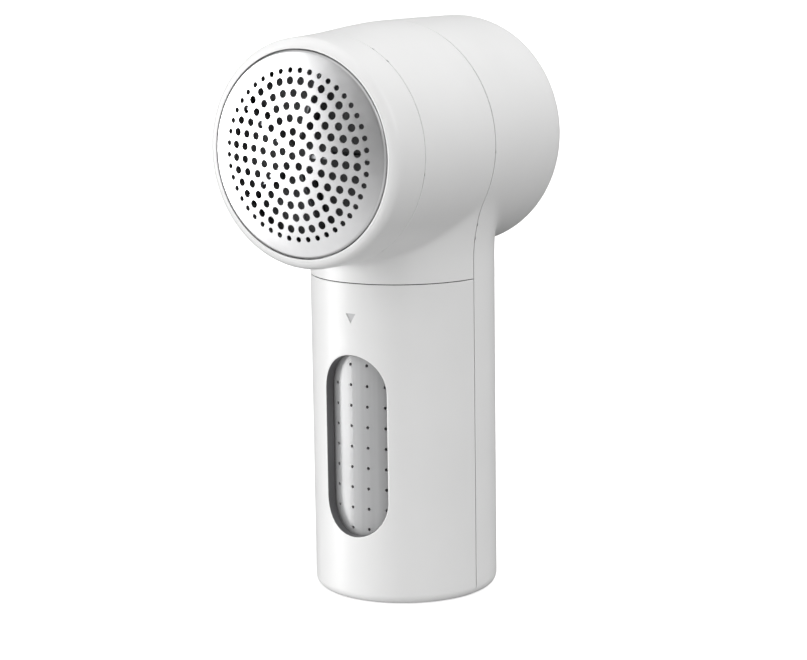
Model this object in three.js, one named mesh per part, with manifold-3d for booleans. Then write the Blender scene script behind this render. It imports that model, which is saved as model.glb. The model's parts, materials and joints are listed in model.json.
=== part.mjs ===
// Cordless fabric shaver: a barrel head with a domed shaving net on a round handle.
// The front half of the handle is the lint bin, which slides down and off.
// Millimetres. +Z is up, the net faces -Y, and the origin is the handle's axis on the base.
import * as THREE from "three";
import { mergeVertices } from "three/addons/utils/BufferGeometryUtils.js";
import Module from "manifold-3d";

const wasm = await Module();
wasm.setup();

// ---------------------------------------------------------------- driving dimensions

// Handle
const HANDLE_RADIUS = 24; // outer radius of the grip
const SHELL_WALL = 2; // wall of the moulded shells
const BASE_THICKNESS = 2.2; // floor of the handle
const BASE_ROUND = 2.5; // rounding of the base's edge
const BIN_SEAM_Z = 83.5; // joint line between the bin and the head housing
const SPLIT_Y = -2.9; // plane that parts the front shells from the rear shell

// Head
const HEAD_Z = 118; // height of the barrel's axis
const CAP_FACE_Y = -44.2; // front face of the net cap
const CAP_LENGTH = 11.9; // from the cap's face to its joint line with the head housing
const CAP_ROUND = 2.7; // rounding of the cap's front edge
const CAP_RIM = 2.5; // white rim outside the net, at the cap's face
const CAP_WALL = 2.05; // wall of the cap's skirt at the joint line
const BARREL_SWELL = 1.8; // the barrel grows by this much from the cap to the split plane
const BARREL_TAPER = 0.25; // and shrinks by this much from there to its back end
const REAR_ROUND = 6.2; // rounding of the barrel's back edge
const REAR_ROOM = 4.3; // between the motor's leads and the back wall
const NECK_FLARE = 40; // radius of the concave sides between handle and barrel
const NECK_TOP = 6; // the neck ends this far below the barrel's axis, inside the barrel

// Joints and gaps
const SEAM_GAP = 0.3; // between two shells at a joint line
const LIP_WALL = 1.2; // lip of the front housing that reaches into the rear one
const LIP_ROOT = 4; // the lip's length in front of the joint line
const LIP_REACH = 3; // and behind it
const LIP_LOW = 8; // the lip ends this far below the barrel's axis
const FIT = 0.3; // clearance between a piece and its seat
const SLIDE_FIT = 0.6; // clearance between the bin's liner and its shell
const SINK = 0.5; // how far a joined shape runs into the one that carries it
const PAST = 1; // how far a cutting shape runs past the surface that it cuts
const LEAST_ROUND = 0.4; // no rounding becomes smaller than this inside a wall

// Shaving net and its cap
const NET_OPENING_RADIUS = 25.9; // hole in the cap that the net stands through
const NET_OPENING_FIT = 0.4; // between the net's side wall and the opening
const NET_THICKNESS = 0.5;
const NET_STANDS_OUT = 3.2; // the net's crown in front of the cap's face
const NET_DOME_RISE = 2.75; // height of the domed crown
const NET_EDGE = 0.7; // width of the rounded edge between the crown and the side wall
const NET_FLANGE_WIDTH = 1.1; // flange beyond the net's side wall
const CAP_LIP = 1; // lip of the cap in front of the net's flange
const CAP_BORE_MARGIN = 0.9; // the skirt's bore is this much wider than the opening
const RETAINER_DEPTH = 2.5; // ring that holds the net in the cap
const RETAINER_MARGIN = 0.9; // the ring reaches this far inside the net's side wall
const NET_RINGS = [
  // radius as a share of the net's, number of holes, hole radius, angle of the first hole
  [0, 1, 1, 0],
  [0.1216, 5, 1, 18],
  [0.2314, 12, 1, 28],
  [0.3588, 18, 1, 15],
  [0.4784, 24, 1, 9],
  [0.5961, 30, 1, 6],
  [0.7137, 36, 1, 4],
  [0.8118, 45, 0.68, 6],
];

// Quick thread between the cap and the cutter chamber
const SPIGOT_GAP = 1.2; // between the chamber's spigot and the cap's bore
const THREAD_HEIGHT = 0.9;
const THREAD_WIDTH = 1.3;
const THREAD_STARTS = 3;
const THREAD_ARC = 30; // degrees covered by each thread
const THREAD_LEAD = 24; // travel in one turn
const THREAD_SINK = 0.4; // how deep a thread stands in the wall that carries it
const CHAMBER_THREAD_TURN = 60; // degrees from the cap's threads to the chamber's
const SEAL_WIDTH = 1.2; // O-ring section
const SEAL_INSET = 0.4; // from the cap's joint line to the seal
const THREAD_INSET = 0.1; // from the seal's clearance to the threads

// Cutter
const BLADES = 5;
const BLADE_MARGIN = 2.6; // between the blades' tips and the retainer's bore
const BLADE_INNER_RADIUS = 4.5;
const BLADE_THICKNESS = 0.9;
const BLADE_GAP = 0.35; // between the blades and the net
const CARRIER_MARGIN = 1.5; // the blades reach this far past the carrier's rim
const CARRIER_DROP = 6.2; // from the net's crown to the carrier's front
const CARRIER_DISC = 2.5;
const SLOT_DEPTH = 1.3; // how deep the blades sit in the carrier
const CARRIER_BOSS_RADIUS = 7;
const CARRIER_BOSS_LENGTH = 7.2;
const VANE_DEPTH = 5.2; // fan vanes behind the carrier
const VANE_THICKNESS = 1.2;
const VANE_INNER_RADIUS = 10.2;
const VANE_MARGIN = 1; // from the vanes' outer ends to the carrier's rim
const HUB_HEX_RADIUS = 4; // across the corners, halved
const HUB_HEX_FIT = 0.4;
const HUB_FRONT_MARGIN = 0.5; // from the carrier's disc to the hub's front
const HUB_FLANGE_RADIUS = 9.6;
const HUB_FLANGE_THICKNESS = 1.5;
const HUB_SLEEVE_RADIUS = 3.6;
const HUB_SLEEVE_LENGTH = 6.4;
const SPRING_SPACE = 10.6; // from the carrier's disc to the hub's flange
const SPRING_RADIUS = 8.6;
const SPRING_WIRE_RADIUS = 0.45;
const SPRING_TURNS = 4;

// Cutter chamber and chute
const CHAMBER_WALL = 2.2;
const CHAMBER_BACK_WALL = 2;
const CHAMBER_BACK_BORE = 4.2;
const SLEEVE_ROOM = 2.7; // between the hub's sleeve and the chamber's back wall
const CHAMBER_MOUTH_DEPTH = 8.5; // the mouth for the lint, along the barrel's axis
const CHUTE_MOUTH_HALF_WIDTH = 11;
const CHUTE_HALF_WIDTH = 13;
const CHUTE_WALL = 1.5;
const CHUTE_BACK_MARGIN = 2.1; // between the split plane and the chute's back wall
const CHUTE_ROOF_LOW = 28; // the roof's low end, below the barrel's axis
const CHUTE_ROOF_HIGH = 16.5; // and its high end
const CHUTE_FLANGE = 1.2;
const CHUTE_LIFT = 0.5; // from the bin's joint line up to the chute
const SHAFT_SEAL_THICKNESS = 1.6;
const SHAFT_SEAL_INSET = 0.2;

// Motor
const MOTOR_RADIUS = 12;
const MOTOR_LENGTH = 30;
const MOTOR_CHAMFER = 1;
const MOTOR_END_CAP = 2.6;
const END_CAP_MARGIN = 0.5;
const TERMINAL_X = 5;
const TERMINAL_HALF_WIDTH = 1.2;
const TERMINAL_THICKNESS = 0.6;
const TERMINAL_LENGTH = 2.2;
const SHAFT_RADIUS = 1.15;
const SHAFT_RUN_FIT = 0.35;
const SHAFT_TIP_MARGIN = 1.7; // from the hub's front to the shaft's tip
const SHAFT_IN_MOTOR = 6;
const CUSHION_WALL = 2.2;
const CUSHION_LENGTH = 6;
const CUSHION_MARGIN = 1; // from the motor's back to the cushion
const MOTOR_SCREW_MARGIN = 4; // from the motor's side to its screws
const HEAD_SCREW_MARGIN = 1.7; // from the heads of the chamber's screws to its wall

// Partition and bin guides
const PARTITION_INSET = 0.2; // from the rear shell's edge to the partition
const PARTITION_THICKNESS = 1.6;
const PARTITION_RISE = 8.5; // the partition ends this far above the bin's joint line
const RAIL_MARGIN = 5; // from the shell's inner wall to the rail's web
const RAIL_WEB = 1.5;
const RAIL_LIP = 1.7; // how far the rail's lip reaches outwards
const RAIL_DEPTH = 3.85; // how far the rail stands out of the partition
const RAIL_LIP_THICKNESS = 1.2;
const RAIL_LOW_Z = 6;
const RAIL_DROP = 3.5; // the rails end this far below the bin's joint line
const HOUSING_SCREW_LOW_Z = 8;
const HOUSING_SCREW_RISE = 4.8; // the upper pair's height above the board's lower edge
const BOSS_RADIUS = 2.5;
const BOSS_MARGIN = 0.5; // between the control board and the screws' bosses

// Bin
const WINDOW_HALF_ANGLE = 23.8; // degrees on each side of the front
const WINDOW_LOW_Z = 16;
const WINDOW_DROP = 19.2; // the window ends this far below the joint line
const LINER_WALL = 1.2;
const LINER_DROP = 2; // the liner ends this far below the joint line
const LINER_SIDE_FIT = 0.4; // between the liner's flat sides and the rails
const LINER_BACK_FIT = 0.15; // from the shell's edge to the liner's flat back
const SEAL_HEIGHT = 1.4;
const SEAL_EDGE = 0.2; // the seal is this much smaller than the liner, all round
const SEAL_OVERHANG = 0.4; // and this much wider than the liner's wall, inside
const CATCH_DROP = 7.5; // the bump that holds the bin up, below the joint line
const CATCH_GROOVE = 0.7;
const CATCH_LEAF = 0.4; // thickness of the catch's spring leaf
const CATCH_HALF_WIDTH = 2;
const CATCH_ROOM = 0.5; // wider than the leaf, on each side
const CATCH_BELOW = 10; // the leaf reaches this far below the bump
const CATCH_ABOVE = 4; // and this far above it
const CATCH_BUMP_RADIUS = 1.4;
const CATCH_POCKET = 1.1; // depth of the leaf's pocket in the partition
const MARK_DROP = 8.9; // middle of the arrow that shows which way the bin slides
const MARK_WIDTH = 3.3;
const MARK_HEIGHT = 3;
const MARK_DEPTH = 0.3;

// Battery and electronics
const CELL_RADIUS = 9.1;
const CELL_LENGTH = 50;
const CELL_LOW_Z = 12.5;
const HOLDER_WALL = 1.5;
const HOLDER_GAP = 0.65; // between the holder and the partition
const HOLDER_MARGIN = 1.5; // the holder is this much shorter than the cell at each end
const HOLDER_GRIP = 3; // the holder reaches this far past the cell's axis
const CONTACT_THICKNESS = 0.4;
const CONTACT_HALF_WIDTH = 4;
const CONTACT_HALF_DEPTH = 2;
const BOARD_THICKNESS = 1.2;
const BOARD_HALF_WIDTH = 9.5;
const BOARD_ABOVE_CELL = 2.7;
const BOARD_ABOVE_BUTTON = 10.5; // from the button's axis to the board's upper edge
const BUTTON_RADIUS = 6.3;
const BUTTON_FLANGE_MARGIN = 1.2;
const BUTTON_FLANGE_THICKNESS = 1;
const BUTTON_ROOM = 0.78; // between the flange and the shell's inner wall
const BUTTON_STANDS_OUT = 0.4;
const SWITCH_HALF_WIDTH = 3;
const SWITCH_DEPTH = 3.3;
const SWITCH_FLOOR = 0.5;
const SWITCH_GAP = 0.9; // between the switch and the button's flange
const PLUNGER_RADIUS = 1.5;
const PLUNGER_ROOM = 0.9; // under the plunger, for its travel
const LENS_RADIUS = 1.2;
const LENS_GAP = 1.6; // from the lens's axis to the button's flange
const LENS_ABOVE_EDGE = 1.2; // from the board's lower edge to the lens's axis
const LED_SIZE = 0.8; // half the width of the light
const SOCKET_Z = 6.5;
const SOCKET_HALF_WIDTH = 4.5;
const SOCKET_HALF_HEIGHT = 1.6;
const SOCKET_DEPTH = 7.4;
const SOCKET_SKIN = 0.35;
const SOCKET_BACK_WALL = 1.2;
const SOCKET_RECESS = 0.8; // from the shell's back to the socket's face
const TONGUE_HALF_WIDTH = 3.35;
const TONGUE_HALF_HEIGHT = 0.35;
const CHARGE_BOARD_HALF_WIDTH = 8.5;
const CHARGE_BOARD_FRONT_Y = 8;
const CHARGE_BOARD_INSET = 4; // from the socket's face to the board's back edge
const LEAD_RADIUS = 0.7;
const LEAD_LOOP = 7; // how far the leads bow out behind their terminals

// Screws
const SCREW_RADIUS = 1.1;
const SCREW_HEAD_RADIUS = 2.2;
const SCREW_HEAD = 1.1; // height of a pan head
const FLAT_SCREW_HEAD = 0.75;
const SCREW_DRIVE = 0.45; // the drive's size as a share of the head's
const MOTOR_SCREW_LENGTH = 5;
const HEAD_SCREW_LENGTH = 9;
const HOUSING_SCREW_LENGTH = 7.5;

// Facets
const ROUND = 36; // sides of a large round piece
const MEDIUM_ROUND = 32;
const SMALL_ROUND = 14; // sides of a small round piece
const FINE_ROUND = 48;
const NET_SIDES = 30;
const HOLE_SIDES = 5;

// ---------------------------------------------------------------- derived places

const FAR = 200; // longer than the whole object
const CAP_SEAM_Y = CAP_FACE_Y + CAP_LENGTH;
const CAP_BACK_Y = CAP_SEAM_Y - SEAM_GAP / 2;
const HOUSING_FRONT_Y = CAP_SEAM_Y + SEAM_GAP / 2;
const FRONT_BACK_Y = SPLIT_Y - SEAM_GAP / 2;
const REAR_FRONT_Y = SPLIT_Y + SEAM_GAP / 2;

// Radii of the head, from the net outwards
const NET_SIDE_RADIUS = NET_OPENING_RADIUS - NET_OPENING_FIT;
const NET_CROWN_RADIUS = NET_SIDE_RADIUS - NET_EDGE;
const NET_DOME_RADIUS = (NET_CROWN_RADIUS ** 2 + NET_DOME_RISE ** 2) / (2 * NET_DOME_RISE);
const CAP_FACE_RADIUS = NET_OPENING_RADIUS + CAP_RIM;
const CAP_BORE_RADIUS = NET_OPENING_RADIUS + CAP_BORE_MARGIN;
const CAP_SEAM_RADIUS = CAP_BORE_RADIUS + CAP_WALL;
const SPLIT_RADIUS = CAP_SEAM_RADIUS + BARREL_SWELL;
const REAR_RADIUS = SPLIT_RADIUS - BARREL_TAPER;
const RETAINER_BORE_RADIUS = NET_SIDE_RADIUS - RETAINER_MARGIN;
const SPIGOT_RADIUS = CAP_BORE_RADIUS - SPIGOT_GAP;
const CHAMBER_RADIUS = SPIGOT_RADIUS - CHAMBER_WALL;
const BLADE_RADIUS = RETAINER_BORE_RADIUS - BLADE_MARGIN;
const CARRIER_RADIUS = BLADE_RADIUS - CARRIER_MARGIN;
const VANE_OUTER_RADIUS = CARRIER_RADIUS - VANE_MARGIN;
const SHAFT_BORE = SHAFT_RADIUS + SHAFT_RUN_FIT;
const MOTOR_SCREW_X = MOTOR_RADIUS - MOTOR_SCREW_MARGIN;
const HEAD_SCREW_X = CHAMBER_RADIUS - SCREW_HEAD_RADIUS - HEAD_SCREW_MARGIN;

// Places along the barrel's axis, from the net backwards
const NET_CROWN_Y = CAP_FACE_Y - NET_STANDS_OUT;
const NET_FLANGE_Y = CAP_FACE_Y + CAP_LIP + FIT;
const RETAINER_Y = NET_FLANGE_Y + NET_THICKNESS + FIT;
const SPIGOT_Y = RETAINER_Y + RETAINER_DEPTH + FIT;
const SEAL_Y = CAP_BACK_Y - SEAL_INSET - SEAL_WIDTH;
const THREAD_Y = SEAL_Y - FIT - THREAD_WIDTH / 2 - THREAD_INSET;
const CARRIER_FRONT_Y = NET_CROWN_Y + CARRIER_DROP;
const CARRIER_BACK_Y = CARRIER_FRONT_Y + CARRIER_DISC;
const SLOT_FLOOR_Y = CARRIER_FRONT_Y + SLOT_DEPTH;
const HUB_FRONT_Y = CARRIER_BACK_Y + HUB_FRONT_MARGIN;
const HUB_FLANGE_Y = CARRIER_BACK_Y + SPRING_SPACE;
const SLEEVE_BACK_Y = HUB_FLANGE_Y + HUB_FLANGE_THICKNESS + HUB_SLEEVE_LENGTH;
const SHAFT_FRONT_Y = HUB_FRONT_Y + SHAFT_TIP_MARGIN;
const CHAMBER_BACK_Y = SLEEVE_BACK_Y + SLEEVE_ROOM + CHAMBER_BACK_WALL;
const CHAMBER_FLOOR_Y = CHAMBER_BACK_Y - CHAMBER_BACK_WALL;
const MOTOR_FRONT_Y = CHAMBER_BACK_Y + FIT;
const MOTOR_BACK_Y = MOTOR_FRONT_Y + MOTOR_LENGTH;
const END_CAP_BACK_Y = MOTOR_BACK_Y + FIT + MOTOR_END_CAP;
const TERMINAL_TIP_Y = END_CAP_BACK_Y + TERMINAL_LENGTH;
const REAR_Y = TERMINAL_TIP_Y + LEAD_LOOP + LEAD_RADIUS + REAR_ROOM + SHELL_WALL;

// Where the neck's concave sides leave the handle and meet the barrel
const FLARE_LOW_Z =
  HEAD_Z -
  Math.sqrt((NECK_FLARE + SPLIT_RADIUS) ** 2 - (HANDLE_RADIUS + NECK_FLARE) ** 2);
const FLARE_HIGH_Z =
  FLARE_LOW_Z + ((HEAD_Z - FLARE_LOW_Z) * NECK_FLARE) / (NECK_FLARE + SPLIT_RADIUS);
const NECK_TOP_Z = HEAD_Z - NECK_TOP;
const CHUTE_LOW_Z = BIN_SEAM_Z + CHUTE_LIFT;
const CHUTE_ROOF_LOW_Z = HEAD_Z - CHUTE_ROOF_LOW;
const CHUTE_ROOF_HIGH_Z = HEAD_Z - CHUTE_ROOF_HIGH;
const CHUTE_BACK_Y = SPLIT_Y - CHUTE_BACK_MARGIN;

// Bin and partition
const PARTITION_Y = REAR_FRONT_Y + PARTITION_INSET;
const PARTITION_BACK_Y = PARTITION_Y + PARTITION_THICKNESS;
const PARTITION_TOP_Z = BIN_SEAM_Z + PARTITION_RISE;
const RAIL_X = HANDLE_RADIUS - SHELL_WALL - RAIL_MARGIN;
const RAIL_HIGH_Z = BIN_SEAM_Z - RAIL_DROP;
const WINDOW_HIGH_Z = BIN_SEAM_Z - WINDOW_DROP;
const LINER_BACK_Y = FRONT_BACK_Y - LINER_BACK_FIT;
const LINER_RADIUS = HANDLE_RADIUS - SHELL_WALL - SLIDE_FIT;
const LINER_HALF_WIDTH = RAIL_X - LINER_SIDE_FIT;
const LINER_LOW_Z = BASE_THICKNESS + FIT;
const LINER_TOP_Z = BIN_SEAM_Z - LINER_DROP;
const CATCH_Z = BIN_SEAM_Z - CATCH_DROP;
const MARK_Z = BIN_SEAM_Z - MARK_DROP;

// Battery bay, from the partition backwards and from the cell upwards
const HOLDER_RADIUS = CELL_RADIUS + FIT + HOLDER_WALL;
const CELL_Y = PARTITION_BACK_Y + HOLDER_GAP + HOLDER_RADIUS;
const CELL_HIGH_Z = CELL_LOW_Z + CELL_LENGTH;
const BOARD_LOW_Z = CELL_HIGH_Z + BOARD_ABOVE_CELL;
const LENS_Z = BOARD_LOW_Z + LENS_ABOVE_EDGE;
const BUTTON_FLANGE_RADIUS = BUTTON_RADIUS + BUTTON_FLANGE_MARGIN;
const BUTTON_Z = LENS_Z + LENS_GAP + BUTTON_FLANGE_RADIUS;
const BOARD_HIGH_Z = BUTTON_Z + BOARD_ABOVE_BUTTON;
const BUTTON_FLANGE_BACK_Y =
  Math.sqrt((HANDLE_RADIUS - SHELL_WALL) ** 2 - BUTTON_FLANGE_RADIUS ** 2) - BUTTON_ROOM;
const BUTTON_FLANGE_Y = BUTTON_FLANGE_BACK_Y - BUTTON_FLANGE_THICKNESS;
const BOARD_Y = BUTTON_FLANGE_Y - SWITCH_GAP - SWITCH_DEPTH - FIT - BOARD_THICKNESS;
const SWITCH_Y = BOARD_Y + BOARD_THICKNESS + FIT;
const SOCKET_FACE_Y = HANDLE_RADIUS - SOCKET_RECESS;
const CHARGE_BOARD_TOP = SOCKET_Z - SOCKET_HALF_HEIGHT - FIT;
const HOUSING_SCREW_X = BOARD_HALF_WIDTH + BOSS_MARGIN + BOSS_RADIUS;
const HOUSING_SCREW_HIGH_Z = BOARD_LOW_Z + HOUSING_SCREW_RISE;

// ---------------------------------------------------------------- solids

// A closed geometry becomes a solid whose faces point outwards.
function solid(geometry) {
  const bare = geometry.clone();
  bare.deleteAttribute("normal");
  bare.deleteAttribute("uv");
  const merged = mergeVertices(bare, 1e-4);
  const points = merged.attributes.position.array;
  const index = merged.index.array;
  const kept = [];
  for (let i = 0; i < index.length; i += 3) {
    const [a, b, c] = index.slice(i, i + 3);
    if (a !== b && b !== c && c !== a) kept.push(a, b, c);
  }
  const corner = (n) => new THREE.Vector3().fromArray(points, 3 * n);
  let volume = 0;
  for (let i = 0; i < kept.length; i += 3) {
    volume += corner(kept[i]).dot(corner(kept[i + 1]).cross(corner(kept[i + 2])));
  }
  if (volume < 0) kept.reverse();
  return new wasm.Manifold(
    new wasm.Mesh({
      numProp: 3,
      vertProperties: new Float32Array(points),
      triVerts: new Uint32Array(kept),
    }),
  );
}

function box([x0, x1], [y0, y1], [z0, z1]) {
  const g = new THREE.BoxGeometry(x1 - x0, y1 - y0, z1 - z0);
  return solid(g.translate((x0 + x1) / 2, (y0 + y1) / 2, (z0 + z1) / 2));
}

// A cylinder along Y, or a prism when it has few sides.
function rodY(radius, [y0, y1], x = 0, z = HEAD_Z, sides = SMALL_ROUND) {
  const g = new THREE.CylinderGeometry(radius, radius, y1 - y0, sides);
  return solid(g.translate(x, (y0 + y1) / 2, z));
}

// A cylinder along Z.
function rodZ(radius, [z0, z1], x = 0, y = 0, sides = SMALL_ROUND) {
  const g = new THREE.CylinderGeometry(radius, radius, z1 - z0, sides);
  return solid(g.rotateX(Math.PI / 2).translate(x, y, (z0 + z1) / 2));
}

// Turned about the barrel's axis; a profile's points are [radius, y].
function turnedY(profile, sides = ROUND) {
  const g = new THREE.LatheGeometry(profile.map(([r, y]) => new THREE.Vector2(r, y)), sides);
  return solid(g.translate(0, 0, HEAD_Z));
}

// A ring about the barrel's axis.
function ringY(inner, outer, [y0, y1], sides = ROUND) {
  return turnedY([[inner, y0], [outer, y0], [outer, y1], [inner, y1], [inner, y0]], sides);
}

// An outline of [x, z] points pushed along Y.
function prismY(outline, [y0, y1]) {
  const shape = new THREE.Shape(outline.map(([x, z]) => new THREE.Vector2(x, z)));
  const g = new THREE.ExtrudeGeometry(shape, { depth: y1 - y0, bevelEnabled: false });
  return solid(g.rotateX(Math.PI / 2).translate(0, y1, 0));
}

// An outline of [x, y] points pushed along Z.
function prismZ(outline, [z0, z1]) {
  const shape = new THREE.Shape(outline.map(([x, y]) => new THREE.Vector2(x, y)));
  const g = new THREE.ExtrudeGeometry(shape, { depth: z1 - z0, bevelEnabled: false });
  return solid(g.translate(0, 0, z0));
}

// An outline of [y, z] points pushed along X, the same distance to both sides.
function prismX(outline, halfWidth) {
  const shape = new THREE.Shape(outline.map(([y, z]) => new THREE.Vector2(y, z)));
  const g = new THREE.ExtrudeGeometry(shape, { depth: 2 * halfWidth, bevelEnabled: false });
  const turn = new THREE.Matrix4().makeBasis(
    new THREE.Vector3(0, 1, 0),
    new THREE.Vector3(0, 0, 1),
    new THREE.Vector3(1, 0, 0),
  );
  return solid(g.applyMatrix4(turn).translate(-halfWidth, 0, 0));
}

// Points of an arc in degrees, about [cx, cy].
function arc(cx, cy, radius, from, to, steps) {
  const points = [];
  for (let i = 0; i <= steps; i++) {
    const a = THREE.MathUtils.degToRad(from + ((to - from) * i) / steps);
    points.push([cx + radius * Math.cos(a), cy + radius * Math.sin(a)]);
  }
  return points;
}

function join(...solids) {
  return solids.reduce((sum, s) => sum.add(s));
}

// The part of a solid between two planes.
function between(s, { x = [-FAR, FAR], y = [-FAR, FAR], z = [-FAR, FAR] }) {
  return s.intersect(box(x, y, z));
}

// A solid turned about the barrel's axis, in degrees; positive is anticlockwise from the front.
function turnAboutHead(s, degrees) {
  return s.translate([0, 0, -HEAD_Z]).rotate([0, -degrees, 0]).translate([0, 0, HEAD_Z]);
}

// ---------------------------------------------------------------- outer shape

// The barrel's outer radius at a place along its axis.
function barrelRadius(y) {
  const stations = [
    [CAP_FACE_Y, CAP_FACE_RADIUS],
    [CAP_SEAM_Y, CAP_SEAM_RADIUS],
    [SPLIT_Y, SPLIT_RADIUS],
    [REAR_Y, REAR_RADIUS],
  ];
  const next = Math.max(1, stations.findIndex(([at]) => at >= y));
  const [y0, r0] = stations[next - 1];
  const [y1, r1] = stations[next];
  return r0 + ((r1 - r0) * (y - y0)) / (y1 - y0);
}

// The barrel, smaller all over by an inset: the outer skin at 0, the inner at the wall.
function barrel(inset = 0) {
  const front = CAP_FACE_Y + inset;
  const back = REAR_Y - inset;
  const frontRound = Math.max(CAP_ROUND - inset, LEAST_ROUND);
  const backRound = Math.max(REAR_ROUND - inset, LEAST_ROUND);
  const frontRadius = barrelRadius(CAP_FACE_Y + CAP_ROUND) - inset;
  const backRadius = barrelRadius(REAR_Y - REAR_ROUND) - inset;
  const swap = ([y, r]) => [r, y];
  return turnedY([
    [0, front],
    ...arc(front + frontRound, frontRadius - frontRound, frontRound, 180, 90, 3).map(swap),
    [CAP_SEAM_RADIUS - inset, CAP_SEAM_Y],
    [SPLIT_RADIUS - inset, SPLIT_Y],
    ...arc(back - backRound, backRadius - backRound, backRound, 90, 0, 4).map(swap),
    [0, back],
  ]);
}

// Half the neck's width at a height: straight up the handle, then flaring into the barrel.
function neckHalfWidth(z) {
  const rise = Math.min(Math.max(z - FLARE_LOW_Z, 0), FLARE_HIGH_Z - FLARE_LOW_Z);
  return HANDLE_RADIUS + NECK_FLARE - Math.sqrt(NECK_FLARE ** 2 - rise ** 2);
}

// The handle and neck, smaller all over by an inset and standing on a floor at lowZ.
function handle(inset = 0, lowZ = 0) {
  const radius = HANDLE_RADIUS - inset;
  const round = Math.max(BASE_ROUND - inset, LEAST_ROUND);
  const profile = [[0, lowZ], ...arc(radius - round, lowZ + round, round, -90, 0, 3)];
  const steps = 5;
  for (let i = 0; i <= steps; i++) {
    profile.push([radius, FLARE_LOW_Z + ((FLARE_HIGH_Z - FLARE_LOW_Z) * i) / steps]);
  }
  profile.push([radius, NECK_TOP_Z], [0, NECK_TOP_Z]);
  const g = new THREE.LatheGeometry(profile.map(([r, z]) => new THREE.Vector2(r, z)), ROUND);
  g.rotateX(Math.PI / 2);
  const at = g.attributes.position;
  for (let i = 0; i < at.count; i++) {
    const widen = (neckHalfWidth(at.getZ(i)) - inset) / radius;
    at.setX(i, at.getX(i) * widen);
  }
  return solid(g);
}

// ---------------------------------------------------------------- net cap

// How far behind the crown the net's skin lies at a radius.
function domeDrop(radius) {
  return NET_DOME_RADIUS - Math.sqrt(NET_DOME_RADIUS ** 2 - radius ** 2);
}

function makeShavingNet() {
  const skin = (offset) =>
    [0, 0.55, 1].map((share) => {
      const r = share * NET_CROWN_RADIUS;
      return [r, NET_CROWN_Y + domeDrop(r) + offset];
    });
  const edgeY = NET_CROWN_Y + NET_DOME_RISE;
  const flange = NET_SIDE_RADIUS + NET_FLANGE_WIDTH;
  const inside = NET_SIDE_RADIUS - NET_THICKNESS;
  const shell = turnedY([
    ...skin(0),
    [NET_SIDE_RADIUS, edgeY + NET_EDGE],
    [NET_SIDE_RADIUS, NET_FLANGE_Y],
    [flange, NET_FLANGE_Y],
    [flange, NET_FLANGE_Y + NET_THICKNESS],
    [inside, NET_FLANGE_Y + NET_THICKNESS],
    [inside, edgeY + NET_EDGE + NET_THICKNESS / 2],
    ...skin(NET_THICKNESS).reverse(),
  ], NET_SIDES);
  const holes = [];
  for (const [share, count, holeRadius, first] of NET_RINGS) {
    const radius = share * NET_SIDE_RADIUS;
    for (let i = 0; i < count; i++) {
      const a = THREE.MathUtils.degToRad(first + (360 * i) / count);
      const x = radius * Math.cos(a);
      const z = HEAD_Z + radius * Math.sin(a);
      const through = [NET_CROWN_Y - PAST, CAP_FACE_Y + PAST];
      holes.push(rodY(holeRadius, through, x, z, HOLE_SIDES));
    }
  }
  return shell.subtract(wasm.Manifold.union(holes));
}

// Threads between two radii, starting at a place along the barrel's axis. Each is a row of
// short blocks that overlap a little, because each block is longer than its share of the arc.
function threads(inner, outer, startY, firstAngle) {
  const steps = 4;
  const overlap = 0.6;
  const middle = (inner + outer) / 2;
  const parts = [];
  for (let start = 0; start < THREAD_STARTS; start++) {
    for (let i = 0; i < steps; i++) {
      const span = THREAD_ARC / steps;
      const turn = firstAngle + (360 / THREAD_STARTS) * start + span * i;
      const y = startY - (THREAD_LEAD * span * i) / 360;
      const length = 2 * middle * Math.tan(THREE.MathUtils.degToRad(span * overlap));
      const piece = box(
        [inner, outer],
        [y - THREAD_WIDTH / 2, y + THREAD_WIDTH / 2],
        [HEAD_Z - length / 2, HEAD_Z + length / 2],
      );
      parts.push(turnAboutHead(piece, turn));
    }
  }
  return join(...parts);
}

function makeNetCapRing() {
  const skirt = between(barrel(), { y: [-FAR, CAP_BACK_Y] });
  const bore = rodY(CAP_BORE_RADIUS, [CAP_FACE_Y + CAP_LIP, 0], 0, HEAD_Z, ROUND);
  const opening = rodY(NET_OPENING_RADIUS, [-FAR, 0], 0, HEAD_Z, ROUND);
  const ring = skirt.subtract(bore).subtract(opening);
  const tip = SPIGOT_RADIUS + FIT;
  return ring.add(threads(tip, CAP_BORE_RADIUS + THREAD_SINK, THREAD_Y, 0));
}

function makeNetRetainer() {
  return ringY(RETAINER_BORE_RADIUS, CAP_BORE_RADIUS - FIT, [
    RETAINER_Y,
    RETAINER_Y + RETAINER_DEPTH,
  ]);
}

function makeCapSeal() {
  const inner = SPIGOT_RADIUS - THREAD_HEIGHT + FIT;
  return ringY(inner, inner + SEAL_WIDTH, [SEAL_Y, SEAL_Y + SEAL_WIDTH], FINE_ROUND);
}

// ---------------------------------------------------------------- cutter

function makeBlade(number) {
  const steps = 5;
  const edge = [];
  for (let i = 0; i <= steps; i++) {
    const r = BLADE_INNER_RADIUS + ((BLADE_RADIUS - BLADE_INNER_RADIUS) * i) / steps;
    const y = NET_CROWN_Y + NET_THICKNESS + BLADE_GAP + domeDrop(r);
    edge.push(new THREE.Vector2(r, y));
  }
  const foot = SLOT_FLOOR_Y - FIT;
  edge.push(new THREE.Vector2(BLADE_RADIUS, foot));
  edge.push(new THREE.Vector2(BLADE_INNER_RADIUS, foot));
  const g = new THREE.ExtrudeGeometry(new THREE.Shape(edge), {
    depth: BLADE_THICKNESS,
    bevelEnabled: false,
  });
  const blade = solid(g.translate(0, 0, HEAD_Z - BLADE_THICKNESS / 2));
  return turnAboutHead(blade, (360 / BLADES) * number);
}

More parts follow.
